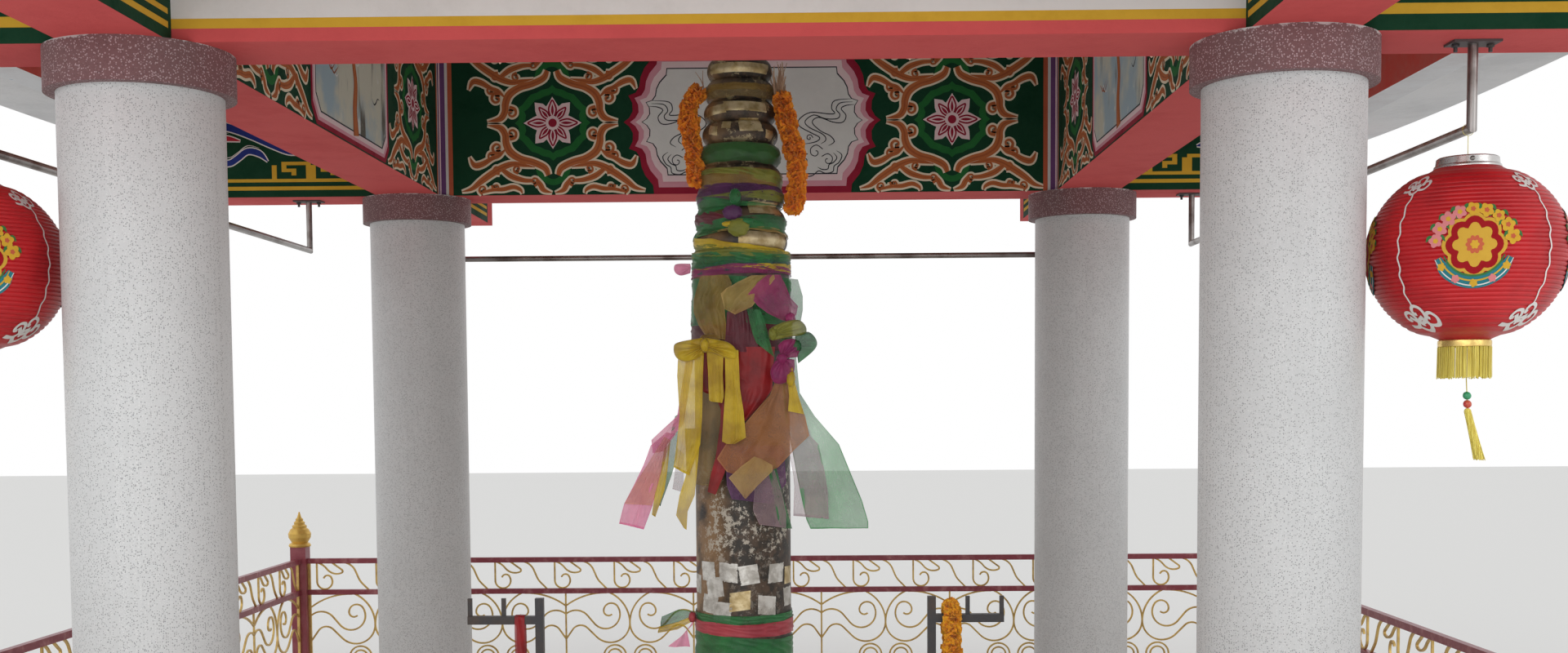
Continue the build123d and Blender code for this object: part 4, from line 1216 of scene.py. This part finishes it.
# cloths wound round the pillar, by the solid that they replace: lift off the pillar, cloth, and the low
# and the high edge's levels at -90, -45, 0, 45 and 90 degrees from the front and at the back
windings = {
    "cloth_bands": {
        "band_tan": (2, "ochre", [2579] * 6, [2603] * 6),
        "band_olive": (4, "olive", [2556, 2557, 2558, 2557, 2556, 2557],
                       [2584, 2583, 2581, 2583, 2584, 2583]),
        "band_green": (3, "moss", [2336, 2340, 2340, 2336, 2336, 2338],
                       [2402, 2403, 2403, 2402, 2400, 2402]),
    },
    "cloth_wraps": {
        "ochre": (2, "ochre", [2246, 2255, 2262, 2262, 2262, 2255], [2316, 2317, 2317, 2316, 2310, 2314]),
        "lime_slant": (5, "lime", [2300, 2300, 2292, 2272, 2256, 2270],
                       [2316, 2317, 2317, 2312, 2290, 2300]),
        "purple": (4, "purple", [2206, 2214, 2216, 2226, 2232, 2216], [2264, 2266, 2264, 2262, 2258, 2262]),
        "lime_right": (6, "lime", [2222, 2222, 2216, 2208, 2205, 2210],
                       [2226, 2226, 2232, 2244, 2238, 2230]),
        "green_left": (3, "green", [2160, 2166, 2186, 2192, 2192, 2176],
                       [2214, 2222, 2204, 2196, 2196, 2206]),
        "grey_left": (4, "maroon", [2122, 2128, 2140, 2146, 2146, 2134],
                      [2176, 2172, 2150, 2150, 2150, 2160]),
        "green_middle": (6, "green", [2082, 2092, 2112, 2112, 2096, 2088],
                         [2132, 2140, 2150, 2160, 2150, 2140]),
        "tan_edge": (5, "beige", [2086, 2096, 2108, 2102, 2088, 2088],
                     [2092, 2102, 2116, 2118, 2104, 2100]),
        "yellow_low": (4, "yellow", [2056, 2050, 2040, 2034, 2032, 2044],
                       [2092, 2082, 2060, 2048, 2046, 2066]),
        "lime_low": (5, "lime", [2020, 2018, 2018, 2018, 2016, 2018], [2068, 2062, 2048, 2040, 2038, 2052]),
        "green_low": (6, "green", [1978, 1984, 1994, 1996, 1992, 1986],
                      [2036, 2034, 2030, 2028, 2026, 2030]),
        "teal_low": (5, "teal", [1956, 1962, 1972, 1978, 1978, 1964], [1992, 1996, 2004, 2006, 2004, 1998]),
        "yellow_right": (7, "yellow", [1976, 1976, 1978, 1972, 1970, 1974],
                         [1980, 1980, 1988, 1996, 2000, 1990]),
        "magenta_low": (8, "magenta", [1951, 1954, 1960, 1962, 1960, 1954],
                        [1976, 1984, 1992, 1988, 1982, 1980]),
    },
    "cloth_knots": {
        "under_green": (6, "green", [1790] * 6, [1949] * 6),
        "under_maroon": (4, "maroon", [1701] * 6, [1806] * 6),
    },
    "cloth_sash": {
        "sash_green": (4, "green", [762, 766, 764, 766, 768, 766], [803, 802, 800, 800, 803, 802]),
        "sash_pink": (9, "rose", [742, 732, 728, 726, 730, 738], [780, 776, 770, 774, 782, 778]),
        "sash_low": (5, "green", [642] * 6, [742, 736, 726, 716, 716, 730]),
    },
}


def readRows(rows, share):
    # a row of numbers read between the listed rows, along straight lines
    place = share * (len(rows) - 1)
    index = min(int(place), len(rows) - 2)
    t = place - index
    return [a + (b - a) * t for a, b in zip(rows[index], rows[index + 1])]


def atPillar(x, y, z):
    # a place that is given in millimetres from the pillar's axis
    return Vector((x / 1000 + pillarX, y / 1000, z / 1000))


def finishCloth(piece, node):
    smooth(piece, 180)
    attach(piece, "pavilion")
    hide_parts(node)


def drape(name, node, sheet, seed):
    # a thin crisp sheet with a few sharp folds that widen as they fall
    y, look, count, depth, rows = sheet
    rng = random.Random(seed)
    folds = [((i + 0.5 + rng.uniform(-0.4, 0.4)) / count, rng.uniform(0.5, 0.9) / (count + 1),
              rng.choice((-1, 1)) * rng.uniform(0.6, 1.0), rng.uniform(-0.12, 0.12)) for i in range(count)]

    def place(u, v):
        drop = 1 - v
        x1, z1, x2, z2 = readRows(rows, drop)
        x, z = x1 + (x2 - x1) * u, z1 + (z2 - z1) * u
        rise = sum(height * max(0.0, 1 - abs(u - middle - lean * drop) / width)
                   for middle, width, height, lean in folds)
        soft = noise.noise(Vector((x * 0.02 + seed, z * 0.012, 0.0)))
        fine = noise.noise(Vector((u * 26, drop * 2.0, seed)))
        crumple = (1 - abs(noise.noise(Vector((x * 0.022 + z * 0.010, z * 0.013 - x * 0.012, seed))))) ** 5
        back = 26 * min(1.6, (x / 180) ** 2)
        out = depth * (rise * (0.45 + 0.55 * drop) + 0.6 * soft + 0.5 * crumple) + 1.6 * fine * (1.3 - drop)
        return atPillar(x, y - out + back, z)
    piece = shapedGrid(name, 52, 10 * (len(rows) - 1), place)
    paint(piece, cloths[look])
    finishCloth(piece, node)


def makeLoop(knotX, knotZ, y, full, folds, look, edge):
    def place(u, v):
        side = 1 if v > 0.5 else -1
        s = math.sin((1 - abs(1 - 2 * v)) * math.pi / 2)
        ex, ez = blended(edge, u)
        x, z = knotX + (ex - knotX) * s, knotZ + (ez - knotZ) * s
        opening = math.sqrt(max(0.0, math.sin(math.pi * u)))
        puff = full * opening * math.sqrt(s) * math.sqrt(max(0.0, 1 - s ** 3))
        fold = 0.16 * full * math.cos(math.tau * folds * u) * math.sin(math.pi * s)
        rough = 0.12 * full * noise.noise(Vector((x * 0.05, z * 0.05, side * 3.0))) * math.sin(math.pi * s)
        return atPillar(x, y + side * (puff + fold * opening + rough), z)
    return paint(closeUp(shapedGrid("loop", 40, 36, place)), cloths[look])


def makeKnot(index, x, y, z, wide, deep, tall, look):
    bpy.ops.object.select_all(action="DESELECT")
    bpy.ops.mesh.primitive_uv_sphere_add(segments=32, ring_count=18, radius=1)
    obj = named("knot")
    for vertex in obj.data.vertices:
        d = vertex.co.normalized()
        crease = 1 - abs(noise.noise(Vector((d.x * 1.5 + index, d.y * 1.5, d.z * 3.4 + d.x * 1.8))))
        vertex.co = d * (0.86 + 0.2 * crease ** 3)
    obj.data.transform(Matrix.Translation(atPillar(x, y, z))
                       @ Matrix.Diagonal((wide / 1000, deep / 1000, tall / 1000, 1)))
    return paint(obj, cloths[look])


def pillarRadius(z):
    # the turned surface under the cloths
    low = ringGuide["top"] - ringGuide["count"] * ringGuide["pitch"]
    if z < low:
        return ringGuide["shaft"]
    index = min(int((ringGuide["top"] - z) / ringGuide["pitch"]), ringGuide["count"] - 1)
    middle = ringGuide["top"] - (index + 0.5) * ringGuide["pitch"]
    crown = ringGuide["high"] + (ringGuide["low"] - ringGuide["high"]) * index / (ringGuide["count"] - 1)
    half, depth = ringGuide["pitch"] / 2, ringGuide["depth"]
    arc = (half * half + depth * depth) / (2 * depth)
    return crown - arc + math.sqrt(max(0.0, arc * arc - (z - middle) ** 2))


# the lower sash is below sashTop, the bands are above wrapTop, and the wraps between are a cone
clothCone = {"sashTop": 1.0, "low": 1.95, "wrapTop": 2.33, "wide": 0.1706, "taper": 0.0266 / 0.368}


def clothRadius(z):
    # cloth pulled over the rings: a cone that sinks a little into their grooves
    if z < clothCone["sashTop"]:
        return ringGuide["shaft"] + 0.001
    if z > clothCone["wrapTop"]:
        return pillarRadius(z) + 0.0015
    cone = clothCone["wide"] - clothCone["taper"] * (z - clothCone["low"])
    return max(pillarRadius(z) + 0.001, cone - 0.006 + 0.4 * (pillarRadius(z) - cone + 0.004))


def wind(name, node, winding, seed):
    lift, look, lows, highs = winding
    levels = list(zip(lows, highs))
    angles = [-90, -45, 0, 45, 90, 180, 270]
    table = levels + levels[:1]

    def readLevels(degrees):
        for (a, b), (first, second) in zip(zip(angles, angles[1:]), zip(table, table[1:])):
            if a <= degrees <= b:
                t = (degrees - a) / (b - a)
                t = t * t * (3 - 2 * t)
                return [p + (q - p) * t for p, q in zip(first, second)]

    def place(u, v):
        low, high = readLevels(-90 + 360 * u)
        turn = math.radians(-90 + 360 * u)
        around = Vector((math.sin(turn), -math.cos(turn), 0.0))
        edge = 3.0 * noise.noise(Vector((around.x * 3, around.y * 3, seed + 5 * round(v))))
        z = (low + (high - low) * v + edge * abs(2 * v - 1)) / 1000
        crease = 1 - abs(noise.noise(Vector((around.x * 2.2, around.y * 2.2 + seed,
                                             v * 3.2 + around.x * 1.6))))
        soft = noise.noise(Vector((around.x * 4, around.y * 4, z * 30 + seed)))
        fine = noise.noise(Vector((around.x * 2.5, around.y * 2.5 + seed, z * 190 + 24 * around.x)))
        radius = clothRadius(z) + (lift * 0.55 + 3.4 * crease ** 4 + 1.2 * soft + 1.5 * fine) / 1000
        return Vector((around.x * radius + pillarX, around.y * radius, z))
    tall = max(high - low for low, high in levels)
    piece = closeUp(shapedGrid("cloth_wind_" + name, 110, max(6, round(tall / 3)), place))
    paint(piece, cloths[look])
    finishCloth(piece, node)


index = 0
for node, wound in windings.items():
    for name, winding in wound.items():
        wind(name, node, winding, 3.7 * index + 1)
        index += 1
bows = joined("cloth_bows", [makeLoop(*loop) for loop in loops]
              + [makeKnot(i, *knot) for i, knot in enumerate(knots)])
finishCloth(bows, "cloth_knots")
wrapKnots = [(-12, -160, 2216, 20, 13, 27, "green"), (-22, -166, 2163, 34, 13, 25, "purple"),
             (-2, -172, 2112, 38, 14, 30, "lime"), (26, -170, 2132, 22, 10, 12, "green"),
             (-34, -168, 2124, 24, 10, 10, "yellow")]
tied = joined("cloth_wrap_knots", [makeKnot(20 + i, *knot) for i, knot in enumerate(wrapKnots)])
finishCloth(tied, "cloth_wraps")
seed = 11
for node, hung in sheets.items():
    for name, sheet in hung.items():
        drape(name if name.startswith("loop") else "tail_" + name, node, sheet, seed)
        seed += 1

# leaf pressed on the pillar: left and right angle from the front, low and high level, 0 gold or 1 silver
leaves = [
    (-60, 61, 2640, 2672, 0), (-26, 48, 2508, 2541, 0), (0, 37, 2440, 2486, 0), (-52, -34, 2432, 2462, 0),
    (-27, -12, 2450, 2474, 0), (44, 60, 2420, 2448, 0), (-70, -20, 2500, 2530, 0), (17, 74, 2272, 2302, 0),
    (12, 65, 2163, 2203, 0), (-1, 75, 2040, 2101, 0), (-57, -34, 917, 982, 1), (-28, -5, 915, 981, 1),
    (-3, 20, 908, 973, 1), (33, 57, 909, 975, 1), (-47, -23, 862, 929, 1), (-55, -31, 806, 868, 1),
    (-15, 10, 818, 883, 0), (19, 43, 801, 866, 1), (58, 81, 824, 889, 1), (-36, -13, 781, 846, 1),
    (-80, -60, 870, 934, 1), (60, 82, 900, 960, 0)]
leafLooks = [leafLook("goldLeaf", (0.66, 0.55, 0.33), (0.42, 0.31, 0.14)),
             leafLook("silverLeaf", (0.68, 0.67, 0.63), (0.42, 0.40, 0.36))]


def pressLeaves():
    patches = []
    for index, (left, right, low, high, kind) in enumerate(leaves):
        rng = random.Random(40 + index)
        lean, twist = rng.uniform(-5, 5), rng.uniform(-4, 4)

        def place(u, v):
            z = (low + (high - low) * v + lean * (u - 0.5) * 2) / 1000
            turn = math.radians(left + (right - left) * u + twist * (v - 0.5))
            crinkle = noise.noise(Vector((u * 5 + index, v * 5, 0.0)))
            edge = max(abs(2 * u - 1), abs(2 * v - 1)) ** 6
            radius = pillarRadius(z) + 0.0007 + 0.0006 * abs(crinkle) + 0.0022 * edge * max(0.0, crinkle)
            return Vector((radius * math.sin(turn) + pillarX, -radius * math.cos(turn), z))
        wide, tall = round((right - left) / 2.4), max(8, round((high - low) / 4))
        patches.append(paint(shapedGrid("leaf", wide, tall, place), leafLooks[kind]))
    piece = joined("pillar_leaf", patches)
    smooth(piece, 60)
    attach(piece, "pavilion")


def sashTails():
    # loose ends tied at the left of the lower sash
    ends = {"green": [(-172, 776, -170, 802), (-230, 764, -225, 808), (-292, 742, -286, 782)],
            "yellow": [(-172, 770, -170, 790), (-232, 738, -226, 766), (-300, 726, -294, 748)],
            "pink": [(-176, 756, -170, 778), (-222, 712, -196, 738), (-264, 680, -186, 680)]}
    parts = []
    for index, (look, rows) in enumerate(ends.items()):
        def place(u, v):
            x1, z1, x2, z2 = readRows(rows, 1 - v)
            x, z = x1 + (x2 - x1) * u, z1 + (z2 - z1) * u
            ruffle = (1 - v) * 9 * math.sin(u * 8 + index)
            ruffle += 5 * noise.noise(Vector((x * 0.05, z * 0.05, index)))
            return atPillar(x, -40 - 9 * index + ruffle, z)
        parts.append(paint(shapedGrid("sashTail", 24, 24, place), cloths[look]))
    parts.append(makeKnot(3, -178, -46, 782, 14, 18, 20, "rose"))
    piece = joined("sash_tails", parts)
    smooth(piece, 180)
    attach(piece, "pavilion")


pressLeaves()
sashTails()


def ribbonPlace(u, v):
    # over the left rack's arm and down on both sides
    s = 2 * v - 1
    drop = max(0.0, abs(s) - 0.05) / 0.95 * rack["ribbonDrop"]
    side = 1 if s > 0 else -1
    y = rack["y"] + side * min(0.016, 0.016 * abs(s) / 0.05)
    wave = 0.003 * math.sin(u * 7 + v * 20)
    return Vector((pillarX - rack["x"] + (u - 0.5) * rack["ribbonWidth"], y + side * wave,
                   rack["ribbonTop"] - drop))


ribbon = shapedGrid("rack_ribbon_cloth", 6, 60, ribbonPlace)
smooth(ribbon, 180)
paint(ribbon, cloths["red"])
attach(ribbon, "pavilion")
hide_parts("rack_ribbon")

print("stage: lanterns")

lantern = {"x": 1.925, "y": -1.43, "top": 2.1063, "low": 1.6723, "capRadius": 0.081, "radius": 0.243,
           "ringRadius": 0.061, "ribs": 40, "ribDepth": 0.0034, "shoulder": 0.05, "facing": -18.0,
           "turnLeft": 50.0, "prints": 4, "seamTurn": 46.0, "screwTurn": -14.0, "capHeight": 0.032,
           "ringHeight": 0.018, "tasselDrop": 0.184, "tasselLean": 0.20, "stringLean": 0.06,
           "eyeLevel": 2.2043, "eyeRadius": 0.0147, "wireTop": 2.1888}


def shadeRadius(share):
    # the arc through the cap, the widest place and the ring
    a, b, c = lantern["capRadius"], lantern["radius"], lantern["ringRadius"]
    h = lantern["top"] - lantern["low"]
    (x1, y1), (x2, y2), (x3, y3) = (a, 0.0), (b, h / 2), (c, h)
    d = 2 * (x1 * (y2 - y3) + x2 * (y3 - y1) + x3 * (y1 - y2))
    s1, s2, s3 = x1 * x1 + y1 * y1, x2 * x2 + y2 * y2, x3 * x3 + y3 * y3
    cx = (s1 * (y2 - y3) + s2 * (y3 - y1) + s3 * (y1 - y2)) / d
    cy = (s1 * (x3 - x2) + s2 * (x1 - x3) + s3 * (x2 - x1)) / d
    radius = math.hypot(x2 - cx, y2 - cy)
    arc = cx + math.sqrt(max(0.0, radius ** 2 - (h * share - cy) ** 2))
    end, gap = (a, share) if share < 0.5 else (c, 1 - share)
    t = min(1.0, gap / lantern["shoulder"])
    return end + (arc - end) * (0.35 + 0.65 * t * t * (3 - 2 * t))


def nylonLook():
    material, tree, shader, place = startMaterial("lanternNylon", 0.42, Sheen_Weight=0.05)
    shade = ranged(tree, noisy(tree, place, 9.0, 3.0), 0.35, 0.7)
    tinted(tree, shader, shade, (0.56, 0.008, 0.014), (0.42, 0.004, 0.010))
    out = grouped(tree, weave, Vector=place, Threads=1800.0)
    bumped(tree, shader, out["Height"], 0.0004, 0.4)
    return material


def threadLook(name, colour, dark):
    material, tree, shader, place = startMaterial(name, 0.6, Sheen_Weight=0.4)
    parts = put(tree, "Mapping", {"Vector": place, "Scale": (400.0, 400.0, 12.0)}).outputs[0]
    tinted(tree, shader, ranged(tree, noisy(tree, parts, 1.0, 2.0), 0.4, 0.65), colour, dark)
    return material


nylon = nylonLook()
lemonThread = threadLook("lemonThread", (0.88, 0.78, 0.16), (0.62, 0.48, 0.05))
greenBead = stained("greenBead", (0.05, 0.36, 0.16), (0.02, 0.2, 0.1), 0.3, 60.0, 0.2)
redBead = stained("redBead", (0.6, 0.03, 0.05), (0.5, 0.35, 0.08), 0.5, 90.0, 0.25)
foilRing = stained("foilRing", (0.80, 0.58, 0.20), (0.5, 0.3, 0.1), 0.4, 60.0, 0.25, Metallic=0.9)


def makeShade():
    outline = [(0.0005, lantern["top"])]
    steps = lantern["ribs"] * 4
    for i in range(steps + 1):
        share = i / steps
        rib = abs(math.sin(math.pi * lantern["ribs"] * share)) ** 0.5
        radius = shadeRadius(share) - lantern["ribDepth"] * (1 - rib) * (0 < i < steps)
        outline.append((radius, lantern["top"] - share * (lantern["top"] - lantern["low"])))
    outline.append((0.0005, lantern["low"]))
    obj = lathe("lanternShade", outline, 72)
    return paint(smooth(obj, 60), nylon)


# prints on the shade, drawn in millimetres from its middle, as seen from the entrance
gildPrint = matt("gildPrint", (0.66, 0.40, 0.05), (0.50, 0.26, 0.03))
roseBloom = matt("roseBloom", (0.72, 0.25, 0.26), (0.58, 0.14, 0.16))
deepRed = matt("deepRedPrint", (0.34, 0.006, 0.012), (0.24, 0.004, 0.01))
tealPrint = matt("tealPrint", (0.03, 0.22, 0.26), (0.02, 0.13, 0.18))
leafPrint = matt("leafPrint", (0.05, 0.20, 0.06), (0.03, 0.12, 0.04))


def onMedal(angle, wide, tall):
    # a place on an oval round the medal's middle
    return wide * math.cos(angle), 4 + tall * math.sin(angle)


def makeMedal():
    # a generic flower in a scalloped ring, a wreath over it and a blue band below
    parts = [rosette(0, 4, 84, 8, 1, gildPrint, 0.0, 0.14), rosette(0, 4, 74, 8, 2, deepRed, 0.0, 0.14)]
    for k in range(8):
        angle = math.tau * k / 8
        parts.append(rosette(*onMedal(angle, 36, 36), 21, 3, 3, gildPrint, angle, 0.25))
    parts += [rosette(0, 4, 24, 10, 4, vermilion, 0.0, 0.2), rosette(0, 4, 12, 6, 5, yolk)]
    rng = random.Random(6)
    for k in range(9):
        x, y = onMedal(math.radians(12 + k * 20), 100, 92)
        for side in (-1, 1):
            twig = [(x, y), (x + side * 15, y + 10), (x + side * 24, y - 2)]
            parts.append(stroke(twig, [3, 11, 1], 3, leafPrint))
        look, core = (roseBloom, yolk) if k > 4 else (yolk, vermilion)
        parts.append(rosette(x, y, 19 + rng.uniform(-2, 3), 5, 4, look, rng.uniform(0, 1)))
        parts.append(rosette(x, y, 7, 5, 5, core))
    for step, width, layer, look in ((0, 30, 3, tealPrint), (-4, 4, 4, yolk), (8, 3, 4, white),
                                     (-16, 5, 4, leafPrint)):
        low = [onMedal(math.radians(a), 98 + step, 94 + step) for a in range(200, 341, 20)]
        parts.append(stroke(low, [width * 0.5] + [width] * 6 + [width * 0.5], layer, look))
    for k in range(5):
        place = onMedal(math.radians(214 + k * 28), 100, 96)
        parts.append(rosette(*place, 11, 5, 5, (yolk, roseBloom)[k % 2], k))
    piece = joined("medal", parts)
    piece.data.transform(Matrix.Diagonal((0.88, 0.95, 1.0, 1.0)))
    return piece


def makeSeamPrint():
    # a wavy white line down the shade with a cloud at each end
    parts = []
    for x, y, wide in ((4, -164, 60), (-4, 166, 45)):
        for dx, dy, size in ((-0.5, 0.0, 0.42), (0.0, 0.22, 0.5), (0.5, 0.0, 0.42), (0.0, -0.22, 0.36)):
            points, widths = curl(x + dx * wide, y + dy * wide, wide * size, 200 - 60 * dx)
            parts.append(stroke(points, [wide * 0.13] * len(points), 1, white, steps=26))
    line = [(3.2 * math.sin(k * 2.1), 142 - 14.4 * k) for k in range(21)]
    parts.append(stroke(line, [4.6] * 21, 1, white))
    return joined("seamPrint", parts)


def makeShadePrint():
    height = lantern["top"] - lantern["low"]
    middle = (lantern["top"] + lantern["low"]) / 2
    medal, seam = makeMedal(), makeSeamPrint()
    prints = []
    for k in range(lantern["prints"]):
        facing = lantern["facing"] + 360.0 * k / lantern["prints"]
        for drawn, swing in ((medal, 0.0), (seam, lantern["seamTurn"])):
            piece = copyOf(drawn, "print", Matrix.Identity(4))
            for vertex in piece.data.vertices:
                x, y, out = vertex.co
                z = middle + y / 1000
                radius = shadeRadius((lantern["top"] - z) / height) + 0.0006 + out / 1000
                turn = math.radians(facing + swing) + math.asin(max(-0.96, min(0.96, x / 1000 / radius)))
                vertex.co = (radius * math.sin(turn), -radius * math.cos(turn), z)
            prints.append(piece)
    remove(medal)
    remove(seam)
    return joined("shadePrint", prints)


def makeStrands(name, count, radius, top, low, flare, seed):
    # a skirt of loose threads: thin strips that hang round a ring
    rng = random.Random(seed)
    strands = []
    for i in range(count):
        turn = math.tau * (i + rng.uniform(-0.3, 0.3)) / count
        out = radius * rng.uniform(0.86, 1.0)
        spread = flare * rng.uniform(0.3, 1.0)
        end = low + rng.uniform(0.0, 0.006)
        width = rng.uniform(0.0012, 0.0020)

        def place(u, v):
            r = out + spread * (1 - v) ** 1.5
            side = (u - 0.5) * width
            return Vector((r * math.cos(turn) - side * math.sin(turn),
                           r * math.sin(turn) + side * math.cos(turn), end + (top - end) * v))
        strands.append(shapedGrid("strand", 1, 5, place))
    obj = joined(name, strands)
    modify(obj, "SOLIDIFY", thickness=0.0012, offset=0.0)
    return paint(obj, lemonThread)


def bead(name, radius, level, look):
    outline = [(0.0005, level + radius)] + [
        (radius * math.sin(math.pi * i / 10), level + radius * math.cos(math.pi * i / 10))
        for i in range(1, 10)] + [(0.0005, level - radius)]
    return paint(smooth(lathe(name, outline, 20), 180), look)


screwSteel = stained("screwSteel", (0.20, 0.19, 0.18), (0.10, 0.09, 0.09), 0.3, 40.0, 0.35, Metallic=0.9)


def leaned(objects, slope, top):
    for obj in objects:
        for vertex in obj.data.vertices:
            vertex.co.x += slope * (top - vertex.co.z)


def makeLantern():
    top, low = lantern["top"], lantern["low"]
    shade = joined("lanternShade", [makeShade(), makeShadePrint()])
    capTop, ringLow = top + lantern["capHeight"], low - lantern["ringHeight"]
    capOutline = [(0.0005, capTop), (0.010, capTop), (0.012, top + 0.028), (0.071, top + 0.027),
                  (0.075, top + 0.024), (0.077, top + 0.008), (0.080, top + 0.006), (0.081, top + 0.003),
                  (0.081, top), (0.0005, top)]
    ringOutline = [(0.0605, low), (0.061, low - 0.001), (0.0645, low - 0.002), (0.065, low - 0.009),
                   (0.0645, low - 0.017), (0.061, ringLow), (0.058, ringLow), (0.058, low), (0.0605, low)]
    ring = paint(smooth(lathe("ring", ringOutline, 48), 50), foilRing)
    fringe = makeStrands("fringe", 150, 0.0655, ringLow, low - 0.100, 0.0015, 5)
    inner = makeStrands("fringeInner", 110, 0.060, ringLow, low - 0.098, 0.001, 6)
    string = lathe("string", [(0.0005, low - 0.001), (0.0014, low - 0.002), (0.0014, low - 0.175),
                              (0.0005, low - 0.1753)], 8)
    paint(string, lemonThread)
    beads = [bead("greenBead", 0.0105, low - 0.1425, greenBead),
             bead("redBead", 0.0105, low - 0.164, redBead)]
    knot = bead("tasselKnot", 0.009, low - 0.183, lemonThread)
    start = low - lantern["tasselDrop"]
    hang = [makeStrands("tassel", 90, 0.0085, start, low - 0.309, 0.0065, 8),
            makeStrands("tasselCore", 40, 0.004, start, low - 0.307, 0.0045, 9)]
    leaned(hang, lantern["tasselLean"], start)
    leaned((string, *beads, knot, *hang), lantern["stringLean"], low - 0.001)
    under = joined("lanternTassel", [ring, fringe, inner, string, *beads, knot, *hang])
    parts = [paint(smooth(lathe("lanternCap", capOutline, 64), 35), silverLook)]
    screwOutline = [(0.0003, 0.0030), (0.0026, 0.0029), (0.0052, 0.0018), (0.0062, 0.0), (0.0003, 0.0)]
    for turn in (lantern["screwTurn"], lantern["screwTurn"] + 180.0):
        screw = lathe("screw", screwOutline, 16)
        screw.data.transform(Matrix.Rotation(math.radians(turn), 4, "Z")
                             @ Matrix.Translation((0.0, -0.0765, top + 0.016))
                             @ Matrix.Rotation(math.radians(90), 4, "X"))
        parts.append(paint(screw, screwSteel))
    return shade, joined("lanternCap", parts), under


def makeThread():
    # the hanging thread with the loop at its upper end
    start, end = lantern["top"] + lantern["capHeight"], lantern["wireTop"]
    wire = lathe("wire", [(0.0003, start), (0.0009, start + 0.001), (0.0009, end), (0.0003, end + 0.0005)], 8)
    bpy.ops.object.select_all(action="DESELECT")
    bpy.ops.mesh.primitive_torus_add(
        major_radius=lantern["eyeRadius"], minor_radius=0.0007, major_segments=32, minor_segments=6,
        location=(0, 0, lantern["eyeLevel"]), rotation=(math.radians(90), 0, 0))
    return paint(joined("thread", [wire, settle(named("threadLoop"))]), lemonThread)


def placeLanterns():
    shade, cap, under = makeLantern()
    cap = joined("lanternCap", [cap, makeThread()])
    for side, sign in (("left", -1), ("right", 1)):
        body = "lantern_" + side
        place = Matrix.Translation((sign * lantern["x"], lantern["y"], 0.0))
        for obj, part, slot in ((shade, "shade", "lantern_nylon"), (cap, "cap", "lantern_silver"),
                                (under, "tassel", "lantern_fringe")):
            swing = lantern["turnLeft"] if (side, part) == ("left", "shade") else 0.0
            turn = Matrix.Rotation(math.radians(swing), 4, "Z")
            piece = copyOf(obj, f"{body}_{part}_detail", place @ turn)
            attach(piece, body)
            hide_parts(f"{body}_{part}")
    for obj in (shade, cap, under):
        remove(obj)


placeLanterns()

print("stage: done")
